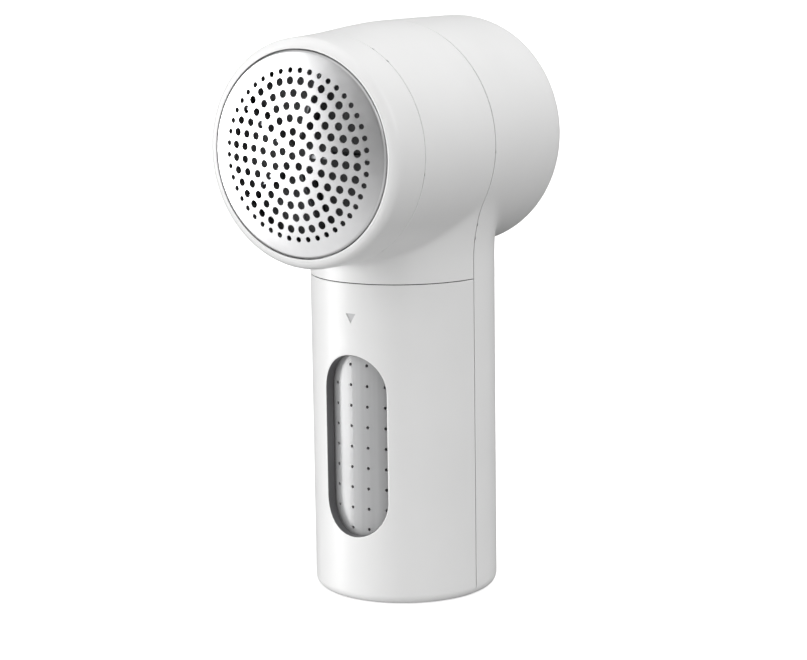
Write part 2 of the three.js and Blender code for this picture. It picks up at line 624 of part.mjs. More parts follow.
function makeBladeCarrier() {
  const disc = rodY(CARRIER_RADIUS, [CARRIER_FRONT_Y, CARRIER_BACK_Y], 0, HEAD_Z, FINE_ROUND);
  const bossSpan = [CARRIER_BACK_Y - SINK, CARRIER_BACK_Y + CARRIER_BOSS_LENGTH];
  const boss = rodY(CARRIER_BOSS_RADIUS, bossSpan, 0, HEAD_Z, FINE_ROUND / 2);
  let carrier = disc.add(boss);
  for (let i = 0; i < BLADES; i++) {
    const slot = box(
      [BLADE_INNER_RADIUS - FIT, BLADE_RADIUS + PAST],
      [CARRIER_FRONT_Y - PAST, SLOT_FLOOR_Y],
      [HEAD_Z - BLADE_THICKNESS / 2 - FIT, HEAD_Z + BLADE_THICKNESS / 2 + FIT],
    );
    const vane = box(
      [VANE_INNER_RADIUS, VANE_OUTER_RADIUS],
      [CARRIER_BACK_Y - SINK, CARRIER_BACK_Y + VANE_DEPTH],
      [HEAD_Z - VANE_THICKNESS / 2, HEAD_Z + VANE_THICKNESS / 2],
    );
    const turn = (360 / BLADES) * i;
    carrier = carrier.subtract(turnAboutHead(slot, turn));
    carrier = carrier.add(turnAboutHead(vane, turn + 180 / BLADES));
  }
  const boreSpan = [HUB_FRONT_Y - HUB_HEX_FIT - FIT, 0];
  const bore = rodY(HUB_HEX_RADIUS + HUB_HEX_FIT, boreSpan, 0, HEAD_Z, 6);
  return carrier.subtract(bore);
}

function makeDriveHub() {
  const hex = rodY(HUB_HEX_RADIUS, [HUB_FRONT_Y, HUB_FLANGE_Y + SINK], 0, HEAD_Z, 6);
  const flangeBack = HUB_FLANGE_Y + HUB_FLANGE_THICKNESS;
  const flange = rodY(HUB_FLANGE_RADIUS, [HUB_FLANGE_Y, flangeBack], 0, HEAD_Z, MEDIUM_ROUND);
  const sleeve = rodY(HUB_SLEEVE_RADIUS, [flangeBack - SINK, SLEEVE_BACK_Y]);
  const bore = rodY(SHAFT_BORE, [SHAFT_FRONT_Y - SHAFT_RUN_FIT, 0]);
  return join(hex, flange, sleeve).subtract(bore);
}

function makeFloatSpring() {
  const low = CARRIER_BACK_Y + FIT + SPRING_WIRE_RADIUS;
  const high = HUB_FLANGE_Y - FIT - SPRING_WIRE_RADIUS;
  const turnSteps = 14;
  const points = [];
  for (let i = 0; i <= SPRING_TURNS * turnSteps; i++) {
    const a = (2 * Math.PI * i) / turnSteps;
    const y = low + ((high - low) * i) / (SPRING_TURNS * turnSteps);
    points.push(
      new THREE.Vector3(SPRING_RADIUS * Math.cos(a), y, HEAD_Z + SPRING_RADIUS * Math.sin(a)),
    );
  }
  return tube(points, SPRING_WIRE_RADIUS, SPRING_TURNS * turnSteps, 6);
}

// A closed tube of round section along a smooth line through the points.
function tube(points, radius, steps, sides) {
  const section = new THREE.Shape(
    arc(0, 0, radius, 0, 360 - 360 / sides, sides - 1).map(([x, y]) => new THREE.Vector2(x, y)),
  );
  const path = new THREE.CatmullRomCurve3(points);
  const options = { steps, extrudePath: path, bevelEnabled: false };
  return solid(new THREE.ExtrudeGeometry(section, options));
}

function makeMotorShaft() {
  return rodY(SHAFT_RADIUS, [SHAFT_FRONT_Y, MOTOR_FRONT_Y + SHAFT_IN_MOTOR]);
}

// ---------------------------------------------------------------- chamber, chute and motor

function makeCutterChamber() {
  const wall = ringY(CHAMBER_RADIUS, SPIGOT_RADIUS, [SPIGOT_Y, CHAMBER_BACK_Y]);
  const backSpan = [CHAMBER_FLOOR_Y, CHAMBER_BACK_Y];
  const back = rodY(SPIGOT_RADIUS - SINK, backSpan, 0, HEAD_Z, ROUND);
  const grooveFloor = SPIGOT_RADIUS - THREAD_HEIGHT;
  const grooveSpan = [SEAL_Y - FIT, SEAL_Y + SEAL_WIDTH + FIT];
  const groove = ringY(grooveFloor, SPIGOT_RADIUS + PAST, grooveSpan);
  const root = SPIGOT_RADIUS - THREAD_SINK;
  const thread = threads(root, CAP_BORE_RADIUS - FIT, THREAD_Y, CHAMBER_THREAD_TURN);
  const mouth = box(
    [-CHUTE_MOUTH_HALF_WIDTH, CHUTE_MOUTH_HALF_WIDTH],
    [CHAMBER_BACK_Y - CHAMBER_MOUTH_DEPTH, CHAMBER_BACK_Y + PAST],
    [HEAD_Z - SPIGOT_RADIUS - PAST, CHUTE_ROOF_HIGH_Z - CHUTE_WALL],
  );
  let chamber = join(wall, back).subtract(groove).add(thread).subtract(mouth);
  const through = [CHAMBER_FLOOR_Y - PAST, CHAMBER_BACK_Y + PAST];
  chamber = chamber.subtract(rodY(CHAMBER_BACK_BORE, through));
  for (const side of [-1, 1]) {
    chamber = chamber.subtract(rodY(SCREW_RADIUS + FIT, through, side * MOTOR_SCREW_X));
    chamber = chamber.subtract(rodY(SCREW_RADIUS + FIT, through, side * HEAD_SCREW_X));
  }
  return chamber;
}

function makeShaftSeal() {
  const y = CHAMBER_FLOOR_Y + SHAFT_SEAL_INSET;
  const span = [y, y + SHAFT_SEAL_THICKNESS];
  return ringY(SHAFT_BORE, CHAMBER_BACK_BORE - FIT, span, SMALL_ROUND);
}

// The chute's outline from the side, smaller all over by an inset.
function chuteOutline(inset) {
  const low = CHUTE_LOW_Z - (inset ? PAST : 0);
  return [
    [-HANDLE_RADIUS, low],
    [CHUTE_BACK_Y - inset, low],
    [CHUTE_BACK_Y - inset, CHUTE_ROOF_LOW_Z - inset / 2],
    [CHAMBER_BACK_Y + FIT, CHUTE_ROOF_HIGH_Z - inset],
    [-HANDLE_RADIUS, CHUTE_ROOF_HIGH_Z - inset],
  ];
}

function makeLintChute() {
  const neck = handle(SHELL_WALL + FIT);
  const duct = prismX(chuteOutline(0), CHUTE_HALF_WIDTH).intersect(neck);
  const flangeSpan = [CHUTE_LOW_Z, CHUTE_LOW_Z + CHUTE_FLANGE];
  const flange = between(neck, { y: [-FAR, SPLIT_Y], z: flangeSpan });
  const hollow = prismX(chuteOutline(CHUTE_WALL), CHUTE_HALF_WIDTH - CHUTE_WALL).intersect(
    handle(SHELL_WALL + FIT + CHUTE_WALL),
  );
  const chamberRoom = rodY(
    SPIGOT_RADIUS + FIT,
    [-FAR, CHAMBER_BACK_Y + FIT],
    0,
    HEAD_Z,
    ROUND,
  );
  return join(duct, flange).subtract(hollow).subtract(chamberRoom);
}

function makeMotorCan() {
  const can = turnedY([
    [0, MOTOR_FRONT_Y],
    [MOTOR_RADIUS - MOTOR_CHAMFER, MOTOR_FRONT_Y],
    [MOTOR_RADIUS, MOTOR_FRONT_Y + MOTOR_CHAMFER],
    [MOTOR_RADIUS, MOTOR_BACK_Y],
    [0, MOTOR_BACK_Y],
  ], ROUND);
  let holes = rodY(SHAFT_BORE, [MOTOR_FRONT_Y - PAST, MOTOR_FRONT_Y + SHAFT_IN_MOTOR + FIT]);
  const screwDepth = MOTOR_SCREW_LENGTH - CHAMBER_BACK_WALL + FIT;
  const screwSpan = [MOTOR_FRONT_Y - PAST, MOTOR_FRONT_Y + screwDepth];
  for (const side of [-1, 1]) {
    holes = holes.add(rodY(SCREW_RADIUS + FIT, screwSpan, side * MOTOR_SCREW_X));
  }
  return can.subtract(holes);
}

function makeMotorEndCap() {
  const span = [MOTOR_BACK_Y + FIT, END_CAP_BACK_Y];
  let cap = rodY(MOTOR_RADIUS - END_CAP_MARGIN, span, 0, HEAD_Z, MEDIUM_ROUND);
  const height = [HEAD_Z - TERMINAL_THICKNESS / 2, HEAD_Z + TERMINAL_THICKNESS / 2];
  for (const x of [-TERMINAL_X, TERMINAL_X]) {
    const width = [x - TERMINAL_HALF_WIDTH, x + TERMINAL_HALF_WIDTH];
    cap = cap.add(box(width, [END_CAP_BACK_Y - SINK, TERMINAL_TIP_Y], height));
  }
  return cap;
}

function makeMotorCushion() {
  const inner = MOTOR_RADIUS + FIT;
  const back = MOTOR_BACK_Y - CUSHION_MARGIN;
  return ringY(inner, inner + CUSHION_WALL, [back - CUSHION_LENGTH, back]);
}

// A screw along Y: its head towards -Y, its head's back face at y.
function screwY(x, y, z, length, headHeight) {
  const head = rodY(SCREW_HEAD_RADIUS, [y - headHeight, y], x, z);
  const driveSpan = [y - headHeight - PAST, y - headHeight / 2];
  const drive = rodY(SCREW_HEAD_RADIUS * SCREW_DRIVE, driveSpan, x, z, 6);
  const shank = rodY(SCREW_RADIUS, [y - headHeight / 4, y + length], x, z);
  return head.add(shank).subtract(drive);
}

// ---------------------------------------------------------------- shells

function makeFrontHousing() {
  const shell = join(
    between(barrel(), { y: [HOUSING_FRONT_Y, FRONT_BACK_Y] }),
    between(handle(), { y: [-FAR, FRONT_BACK_Y], z: [BIN_SEAM_Z + SEAM_GAP / 2, FAR] }),
  );
  const frontWall = HOUSING_FRONT_Y + SHELL_WALL;
  const hollow = join(
    between(barrel(SHELL_WALL), { y: [frontWall, FAR] }),
    handle(SHELL_WALL),
  );
  const spigotRoom = rodY(SPIGOT_RADIUS + FIT, [-FAR, FAR], 0, HEAD_Z, ROUND);
  const lipOuter = SPLIT_RADIUS - SHELL_WALL - FIT;
  const lipFront = FRONT_BACK_Y - LIP_ROOT;
  const lip = ringY(lipOuter - LIP_WALL, lipOuter, [lipFront, REAR_FRONT_Y + LIP_REACH]);
  const root = ringY(lipOuter - LIP_WALL, lipOuter + 2 * FIT, [lipFront, FRONT_BACK_Y]);
  const upperLip = between(join(lip, root), { z: [HEAD_Z - LIP_LOW, FAR] });
  return shell.subtract(hollow).subtract(spigotRoom).add(upperLip);
}

function makeRearHousing() {
  const behind = { y: [REAR_FRONT_Y, FAR] };
  const shell = between(join(barrel(), handle()), behind);
  const hollow = join(barrel(SHELL_WALL), handle(SHELL_WALL, BASE_THICKNESS));
  let housing = shell.subtract(hollow);
  const room = handle(SHELL_WALL / 2, BASE_THICKNESS / 2);
  const bossFront = PARTITION_BACK_Y + FIT;
  const housingHole = bossFront + HOUSING_SCREW_LENGTH + FIT;
  const headHole = CHAMBER_BACK_Y + HEAD_SCREW_LENGTH;
  for (const side of [-1, 1]) {
    for (const z of [HOUSING_SCREW_LOW_Z, HOUSING_SCREW_HIGH_Z]) {
      const x = side * HOUSING_SCREW_X;
      housing = housing.add(rodY(BOSS_RADIUS, [bossFront, FAR], x, z).intersect(room));
      housing = housing.subtract(rodY(SCREW_RADIUS + FIT, [-FAR, housingHole], x, z));
    }
    const x = side * HEAD_SCREW_X;
    housing = housing.add(rodY(BOSS_RADIUS, [CHAMBER_BACK_Y + FIT, REAR_Y - SHELL_WALL / 2], x));
    housing = housing.subtract(rodY(SCREW_RADIUS + FIT, [-FAR, headHole], x));
  }
  const buttonHole = rodY(BUTTON_RADIUS + FIT, [BUTTON_FLANGE_Y, FAR], 0, BUTTON_Z, MEDIUM_ROUND);
  const lensHole = rodY(LENS_RADIUS + FIT, [BUTTON_FLANGE_Y, FAR], 0, LENS_Z, SMALL_ROUND);
  const port = prismY(
    pill(SOCKET_HALF_WIDTH + FIT, SOCKET_HALF_HEIGHT + FIT, SOCKET_Z),
    [SOCKET_FACE_Y - SHELL_WALL - PAST, FAR],
  );
  return housing.subtract(buttonHole).subtract(lensHole).subtract(port);
}

// A stadium outline of [x, z] points.
function pill(halfWidth, halfHeight, z) {
  const reach = halfWidth - halfHeight;
  return [
    ...arc(reach, z, halfHeight, -90, 90, 8),
    ...arc(-reach, z, halfHeight, 90, 270, 8),
  ];
}

function makePartition() {
  const room = handle(SHELL_WALL + FIT, BASE_THICKNESS + FIT);
  const plateSpan = [PARTITION_Y, PARTITION_BACK_Y];
  let plate = between(room, { y: plateSpan, z: [0, PARTITION_TOP_Z] });
  const tip = PARTITION_Y - RAIL_DEPTH;
  const throughPlate = [PARTITION_Y - PAST, PARTITION_BACK_Y + PAST];
  const sinkSpan = [PARTITION_Y - PAST, PARTITION_Y + FLAT_SCREW_HEAD + FIT];
  for (const side of [-1, 1]) {
    const web = [side * RAIL_X, side * (RAIL_X + RAIL_WEB)].sort((a, b) => a - b);
    const lip = [side * RAIL_X, side * (RAIL_X + RAIL_WEB + RAIL_LIP)].sort((a, b) => a - b);
    plate = plate.add(box(web, [tip, PARTITION_Y + SINK], [RAIL_LOW_Z, RAIL_HIGH_Z]));
    plate = plate.add(box(lip, [tip, tip + RAIL_LIP_THICKNESS], [RAIL_LOW_Z, RAIL_HIGH_Z]));
    for (const z of [HOUSING_SCREW_LOW_Z, HOUSING_SCREW_HIGH_Z]) {
      const x = side * HOUSING_SCREW_X;
      plate = plate.subtract(rodY(SCREW_HEAD_RADIUS + FIT, sinkSpan, x, z));
      plate = plate.subtract(rodY(SCREW_RADIUS + FIT, throughPlate, x, z));
    }
  }
  const pocket = box(
    [-CATCH_HALF_WIDTH - FIT, CATCH_HALF_WIDTH + FIT],
    [PARTITION_Y - PAST, PARTITION_Y + CATCH_POCKET],
    [CATCH_Z - CATCH_BELOW - FIT, CATCH_Z + CATCH_ABOVE + FIT],
  );
  return plate.subtract(pocket);
}

// ---------------------------------------------------------------- bin

// The window's slot, as a stadium wrapped round the handle: upright ends are half circles.
function windowCutter() {
  const half = HANDLE_RADIUS * Math.sin(THREE.MathUtils.degToRad(WINDOW_HALF_ANGLE));
  const outline = [
    ...arc(0, WINDOW_HIGH_Z - half, half, 0, 180, 14),
    ...arc(0, WINDOW_LOW_Z + half, half, 180, 360, 14),
  ];
  return prismY(outline, [-FAR, -HANDLE_RADIUS / 2]);
}

function makeBinShell() {
  const outer = between(handle(), {
    y: [-FAR, FRONT_BACK_Y],
    z: [-1, BIN_SEAM_Z - SEAM_GAP / 2],
  });
  let shell = outer.subtract(handle(SHELL_WALL, BASE_THICKNESS));
  const guideFront = PARTITION_Y - RAIL_DEPTH + RAIL_LIP_THICKNESS + FIT;
  const guideHeight = [BASE_THICKNESS - SINK, RAIL_HIGH_Z];
  for (const side of [-1, 1]) {
    const inner = side * (RAIL_X + RAIL_WEB + FIT);
    const span = [inner, side * HANDLE_RADIUS].sort((a, b) => a - b);
    const guide = box(span, [guideFront, FRONT_BACK_Y], guideHeight);
    shell = shell.add(guide.intersect(handle(SINK, SINK)));
  }
  const top = MARK_Z + MARK_HEIGHT / 2;
  const mark = prismY(
    [
      [-MARK_WIDTH / 2, top],
      [MARK_WIDTH / 2, top],
      [0, top - MARK_HEIGHT],
    ],
    [-FAR, -HANDLE_RADIUS + MARK_DEPTH],
  );
  return shell.subtract(windowCutter()).subtract(mark);
}

// The liner's outline seen from above: round in front, straight sides and a flat back.
function linerOutline(inset) {
  const radius = LINER_RADIUS - inset;
  const half = LINER_HALF_WIDTH - inset;
  const corner = THREE.MathUtils.radToDeg(Math.acos(half / radius));
  const back = LINER_BACK_Y - inset;
  return [[-half, back], ...arc(0, 0, radius, 180 + corner, 360 - corner, 22), [half, back]];
}

function makeBinLiner() {
  const cup = prismZ(linerOutline(0), [LINER_LOW_Z, LINER_TOP_Z]);
  const inside = [LINER_LOW_Z + LINER_WALL, LINER_TOP_Z + PAST];
  const hollow = prismZ(linerOutline(LINER_WALL), inside);
  return cup.subtract(hollow).subtract(catchGroove(CATCH_Z - CATCH_BUMP_RADIUS - 2 * FIT));
}

// The groove down the liner's back that the catch's bump runs into, from a height upwards.
function catchGroove(low) {
  const half = CATCH_HALF_WIDTH + CATCH_ROOM;
  return box([-half, half], [LINER_BACK_Y - CATCH_GROOVE, LINER_BACK_Y + PAST], [low, FAR]);
}

function makeBinSeal() {
  const low = LINER_TOP_Z + FIT;
  const ring = prismZ(linerOutline(SEAL_EDGE), [low, low + SEAL_HEIGHT]);
  const inside = [low - PAST, low + SEAL_HEIGHT + PAST];
  const hollow = prismZ(linerOutline(LINER_WALL + SEAL_OVERHANG), inside);
  return ring.subtract(hollow).subtract(catchGroove(low - PAST));
}

function makeBinCatch() {
  const floor = PARTITION_Y + CATCH_POCKET - FIT;
  const leaf = box(
    [-CATCH_HALF_WIDTH, CATCH_HALF_WIDTH],
    [floor - CATCH_LEAF, floor],
    [CATCH_Z - CATCH_BELOW, CATCH_Z + CATCH_ABOVE],
  );
  const bumpSpan = [LINER_BACK_Y - CATCH_GROOVE + FIT, floor - CATCH_LEAF / 2];
  return leaf.add(rodY(CATCH_BUMP_RADIUS, bumpSpan, 0, CATCH_Z));
}

// ---------------------------------------------------------------- battery and electronics

function makeBatteryCell() {
  return rodZ(CELL_RADIUS, [CELL_LOW_Z, CELL_HIGH_Z], 0, CELL_Y, MEDIUM_ROUND);
}

function makeBatteryHolder() {
  const span = [CELL_LOW_Z + HOLDER_MARGIN, CELL_HIGH_Z - HOLDER_MARGIN];
  const outer = rodZ(HOLDER_RADIUS, span, 0, CELL_Y, MEDIUM_ROUND);
  const inner = rodZ(CELL_RADIUS + FIT, [0, FAR], 0, CELL_Y, MEDIUM_ROUND);
  return between(outer.subtract(inner), { y: [-FAR, CELL_Y + HOLDER_GRIP] });
}

function makeContact(z) {
  return box(
    [-CONTACT_HALF_WIDTH, CONTACT_HALF_WIDTH],
    [CELL_Y - CONTACT_HALF_DEPTH, CELL_Y + CONTACT_HALF_DEPTH],
    [z, z + CONTACT_THICKNESS],
  );
}

function makeControlBoard() {
  return box(
    [-BOARD_HALF_WIDTH, BOARD_HALF_WIDTH],
    [BOARD_Y, BOARD_Y + BOARD_THICKNESS],
    [BOARD_LOW_Z, BOARD_HIGH_Z],
  );
}

function makePowerSwitch() {
  const body = box(
    [-SWITCH_HALF_WIDTH, SWITCH_HALF_WIDTH],
    [SWITCH_Y, SWITCH_Y + SWITCH_DEPTH],
    [BUTTON_Z - SWITCH_HALF_WIDTH, BUTTON_Z + SWITCH_HALF_WIDTH],
  );
  const well = rodY(PLUNGER_RADIUS + FIT, [SWITCH_Y + SWITCH_FLOOR, FAR], 0, BUTTON_Z);
  return body.subtract(well);
}

function makeSwitchPlunger() {
  const foot = SWITCH_Y + SWITCH_FLOOR + PLUNGER_ROOM;
  return rodY(PLUNGER_RADIUS, [foot, BUTTON_FLANGE_Y - FIT], 0, BUTTON_Z);
}

function makePowerButton() {
  const flangeSpan = [BUTTON_FLANGE_Y, BUTTON_FLANGE_BACK_Y];
  const flange = rodY(BUTTON_FLANGE_RADIUS, flangeSpan, 0, BUTTON_Z, MEDIUM_ROUND);
  const capSpan = [BUTTON_FLANGE_BACK_Y - SINK, FAR];
  const cap = rodY(BUTTON_RADIUS, capSpan, 0, BUTTON_Z, MEDIUM_ROUND);
  const face = handle(-BUTTON_STANDS_OUT);
  return join(flange, cap).intersect(face);
}

function makeIndicatorLens() {
  return rodY(LENS_RADIUS, [BUTTON_FLANGE_BACK_Y, FAR], 0, LENS_Z).intersect(handle());
}

function makeStatusLed() {
  const height = [LENS_Z - LED_SIZE, LENS_Z + LED_SIZE];
  return box([-LED_SIZE, LED_SIZE], [SWITCH_Y, SWITCH_Y + LED_SIZE], height);
}

function makeChargeBoard() {
  return box(
    [-CHARGE_BOARD_HALF_WIDTH, CHARGE_BOARD_HALF_WIDTH],
    [CHARGE_BOARD_FRONT_Y, SOCKET_FACE_Y - CHARGE_BOARD_INSET],
    [CHARGE_BOARD_TOP - BOARD_THICKNESS, CHARGE_BOARD_TOP],
  );
}

function makeUsbSocket() {
  const back = SOCKET_FACE_Y - SOCKET_DEPTH;
  const outside = pill(SOCKET_HALF_WIDTH, SOCKET_HALF_HEIGHT, SOCKET_Z);
  const outer = prismY(outside, [back, SOCKET_FACE_Y]);
  const inside = pill(SOCKET_HALF_WIDTH - SOCKET_SKIN, SOCKET_HALF_HEIGHT - SOCKET_SKIN, SOCKET_Z);
  const hollow = prismY(inside, [back + SOCKET_BACK_WALL, SOCKET_FACE_Y + PAST]);
  const tongue = box(
    [-TONGUE_HALF_WIDTH, TONGUE_HALF_WIDTH],
    [back + SOCKET_BACK_WALL - SINK, SOCKET_FACE_Y - 2 * TONGUE_HALF_HEIGHT],
    [SOCKET_Z - TONGUE_HALF_HEIGHT, SOCKET_Z + TONGUE_HALF_HEIGHT],
  );
  return outer.subtract(hollow).add(tongue);
}

// A motor lead: out of a terminal on the end cap, down in a bow behind the motor, and
// forwards to the board's upper edge. A point is x, y and z.
function makeMotorLead(side) {
  const foot = BOARD_HIGH_Z + FIT;
  const boardMiddle = BOARD_Y + BOARD_THICKNESS / 2;
  const bowEnd = [6.2, TERMINAL_TIP_Y + 0.29 * LEAD_LOOP, HEAD_Z - 18];
  const points = [
    [TERMINAL_X, TERMINAL_TIP_Y + FIT, HEAD_Z],
    [5.2, TERMINAL_TIP_Y + 0.64 * LEAD_LOOP, HEAD_Z - 1],
    [5.8, TERMINAL_TIP_Y + LEAD_LOOP, HEAD_Z - 9],
    bowEnd,
    [6, (bowEnd[1] + boardMiddle) / 2, (bowEnd[2] + foot) / 2],
    [5.5, boardMiddle + 0.4, foot + 3.2],
    [5.5, boardMiddle, foot],
  ];
  const route = points.map(([x, y, z]) => new THREE.Vector3(side * x, y, z));
  return tube(route, LEAD_RADIUS, 22, 8);
}

// ---------------------------------------------------------------- finishes

function finish(color, roughness, metalness = 0, more = {}) {
  return { color, roughness, metalness, ...more };
}

const WHITE_PLASTIC = finish(0xeeeeed, 0.5);
const INNER_PLASTIC = finish(0xd5d6d6, 0.55);
const DARK_PLASTIC = finish(0x3a3c3e, 0.5);
const LINER_PLASTIC = finish(0xa9abad, 0.25);
const STEEL = finish(0xc9cbcc, 0.3, 1);
const ZINC = finish(0x9a9da0, 0.4, 1);
const RUBBER = finish(0x2b2b2c, 0.85);
const FELT = finish(0x8d8a84, 0.95);
const BOARD_GREEN = finish(0x1f5a3c, 0.45);
const CELL_WRAP = finish(0x4c7fa8, 0.35);
const CLEAR_LENS = finish(0xf4f6f8, 0.1, 0, { transparent: true, opacity: 0.5 });
const LEAD_RED = finish(0xb3261e, 0.5);
const LEAD_BLACK = finish(0x1b1b1c, 0.5);

// ---------------------------------------------------------------- assembly

const shaver = new THREE.Group();

function add(name, piece, look) {
  const { vertProperties, triVerts } = piece.getMesh();
  const g = new THREE.BufferGeometry();
  g.setAttribute("position", new THREE.BufferAttribute(new Float32Array(vertProperties), 3));
  g.setIndex(new THREE.BufferAttribute(new Uint32Array(triVerts), 1));
  g.computeVertexNormals();
  const mesh = new THREE.Mesh(g, new THREE.MeshStandardMaterial(look));
  mesh.name = name;
  shaver.add(mesh);
}

add("rear_housing", makeRearHousing(), WHITE_PLASTIC);
add("front_housing", makeFrontHousing(), WHITE_PLASTIC);
add("partition", makePartition(), INNER_PLASTIC);

add("net_cap_ring", makeNetCapRing(), WHITE_PLASTIC);
add("shaving_net", makeShavingNet(), STEEL);
add("net_retainer", makeNetRetainer(), INNER_PLASTIC);
add("cap_seal", makeCapSeal(), RUBBER);

for (let i = 0; i < BLADES; i++) add(`cutter_blade_${i + 1}`, makeBlade(i), STEEL);
add("blade_carrier", makeBladeCarrier(), DARK_PLASTIC);
add("float_spring", makeFloatSpring(), STEEL);
add("drive_hub", makeDriveHub(), DARK_PLASTIC);
add("motor_shaft", makeMotorShaft(), STEEL);

add("cutter_chamber", makeCutterChamber(), INNER_PLASTIC);
add("shaft_seal", makeShaftSeal(), FELT);
add("lint_chute", makeLintChute(), INNER_PLASTIC);
add("motor_can", makeMotorCan(), ZINC);
add("motor_end_cap", makeMotorEndCap(), DARK_PLASTIC);
add("motor_cushion", makeMotorCushion(), RUBBER);

const screwSeatY = CHAMBER_FLOOR_Y - FIT;
[-1, 1].forEach((side, i) => {
  const motorScrewX = side * MOTOR_SCREW_X;
  const motorScrew = screwY(motorScrewX, screwSeatY, HEAD_Z, MOTOR_SCREW_LENGTH, SCREW_HEAD);
  add(`motor_screw_${i + 1}`, motorScrew, ZINC);
  const headScrewX = side * HEAD_SCREW_X;
  const headScrew = screwY(headScrewX, screwSeatY, HEAD_Z, HEAD_SCREW_LENGTH, SCREW_HEAD);
  add(`head_screw_${i + 1}`, headScrew, ZINC);
});

let housingScrews = 0;
for (const z of [HOUSING_SCREW_LOW_Z, HOUSING_SCREW_HIGH_Z]) {
  for (const side of [-1, 1]) {
    housingScrews += 1;
    const seat = PARTITION_Y + FLAT_SCREW_HEAD;
    const x = side * HOUSING_SCREW_X;
    const screw = screwY(x, seat, z, HOUSING_SCREW_LENGTH, FLAT_SCREW_HEAD);
    add(`housing_screw_${housingScrews}`, screw, ZINC);
  }
}

add("bin_shell", makeBinShell(), WHITE_PLASTIC);
add("bin_liner", makeBinLiner(), LINER_PLASTIC);
add("bin_seal", makeBinSeal(), RUBBER);
add("bin_catch", makeBinCatch(), STEEL);

add("battery_cell", makeBatteryCell(), CELL_WRAP);
add("battery_holder", makeBatteryHolder(), INNER_PLASTIC);
add("battery_contact_low", makeContact(CELL_LOW_Z - FIT - CONTACT_THICKNESS), ZINC);
add("battery_contact_high", makeContact(CELL_HIGH_Z + FIT), ZINC);
add("control_board", makeControlBoard(), BOARD_GREEN);
add("power_switch", makePowerSwitch(), DARK_PLASTIC);
add("switch_plunger", makeSwitchPlunger(), DARK_PLASTIC);
add("power_button", makePowerButton(), WHITE_PLASTIC);
add("indicator_lens", makeIndicatorLens(), CLEAR_LENS);
add("status_led", makeStatusLed(), CLEAR_LENS);
add("charge_board", makeChargeBoard(), BOARD_GREEN);
add("usb_socket", makeUsbSocket(), STEEL);
add("motor_lead_red", makeMotorLead(1), LEAD_RED);
add("motor_lead_black", makeMotorLead(-1), LEAD_BLACK);

export default shaver;
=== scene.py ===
# %% [markdown]
# # A cordless fabric shaver
#
# The object is a barrel-shaped head on a round handle. The head carries a domed steel net
# with small holes, five blades turn behind it, and a fan sucks the lint down into a bin,
# which is the front half of the handle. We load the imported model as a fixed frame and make
# a finer piece around each solid of it: first the camera and the light, then the shells,
# the net, the bin and what lies inside.

# %% Load the frame
import json
import math
import bmesh
import bpy
from mathutils import Matrix, Vector


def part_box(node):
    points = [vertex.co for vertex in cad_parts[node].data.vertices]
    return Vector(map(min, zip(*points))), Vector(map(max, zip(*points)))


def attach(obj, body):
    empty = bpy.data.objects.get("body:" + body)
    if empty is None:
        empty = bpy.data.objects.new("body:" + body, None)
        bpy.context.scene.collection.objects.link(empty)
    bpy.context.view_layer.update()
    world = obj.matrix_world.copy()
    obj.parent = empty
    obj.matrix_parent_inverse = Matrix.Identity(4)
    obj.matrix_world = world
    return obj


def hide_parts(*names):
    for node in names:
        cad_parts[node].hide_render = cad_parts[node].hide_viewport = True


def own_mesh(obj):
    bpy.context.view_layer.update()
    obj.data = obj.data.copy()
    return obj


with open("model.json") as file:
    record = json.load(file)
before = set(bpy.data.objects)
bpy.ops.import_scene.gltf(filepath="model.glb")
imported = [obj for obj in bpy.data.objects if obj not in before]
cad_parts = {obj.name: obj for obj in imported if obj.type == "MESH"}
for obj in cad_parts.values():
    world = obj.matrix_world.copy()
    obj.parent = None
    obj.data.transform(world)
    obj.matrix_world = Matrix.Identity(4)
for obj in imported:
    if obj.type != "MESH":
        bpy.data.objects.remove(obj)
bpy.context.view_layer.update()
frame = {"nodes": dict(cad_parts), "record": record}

nodes = frame["nodes"]
print("nodes in the frame:", len(nodes))

# %% [markdown]
# ## Sizes
#
# Blender works in metres and the drawing is in millimetres, so one factor turns the second
# into the first. The main places are read off the frame's own boxes. What the boxes can't
# say, such as a rounding's radius, is named here.

# %% Places read off the frame
MM = 0.001
cap_low, cap_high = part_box("net_cap_ring")
bin_low, bin_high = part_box("bin_shell")
_, rear_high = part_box("rear_housing")
shaft_low, shaft_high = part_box("motor_shaft")

HEAD_Z = (shaft_low.z + shaft_high.z) / 2
HANDLE_RADIUS = -bin_low.y
CAP_FACE_Y = cap_low.y
SEAM_GAP = 0.3 * MM
CAP_SEAM_Y = cap_high.y + SEAM_GAP / 2
SPLIT_Y = bin_high.y + SEAM_GAP / 2
BIN_SEAM_Z = bin_high.z + SEAM_GAP / 2
REAR_Y = rear_high.y
SPLIT_RADIUS = rear_high.x
WALL = 2 * MM
print(f"handle radius {HANDLE_RADIUS / MM:.2f} mm, head axis {HEAD_Z / MM:.1f} mm up")

# %% Sizes of the outer form
CAP_FACE_RADIUS = 28.4 * MM
CAP_SEAM_RADIUS = 28.85 * MM
REAR_RADIUS = 30.4 * MM
CAP_ROUND = 2.7 * MM
REAR_ROUND = 6.2 * MM
BASE_ROUND = 2.5 * MM
NECK_FLARE = 40 * MM
NECK_TOP_Z = HEAD_Z - 6 * MM
VISIBLE_GAP = 0.17 * MM  # what is left of a joint line between two finished edges
EDGE = 0.12 * MM  # how much a shell's edge is broken at a joint line
LIP = VISIBLE_GAP / 2 + EDGE  # from a joint line's middle to where its lip begins

# %% [markdown]
# ## Tools of the bench
#
# An edit operator acts on all that is selected, so each step starts from nothing selected
# and picks its vertices or faces by where they are. These few helpers do what a hand does
# with the mouse: open a piece for editing, pick, apply a modifier, cut with a tool.

# %% Start from nothing selected, edit, and step back
def done():
    """Leave edit mode."""
    bpy.ops.object.mode_set(mode="OBJECT")


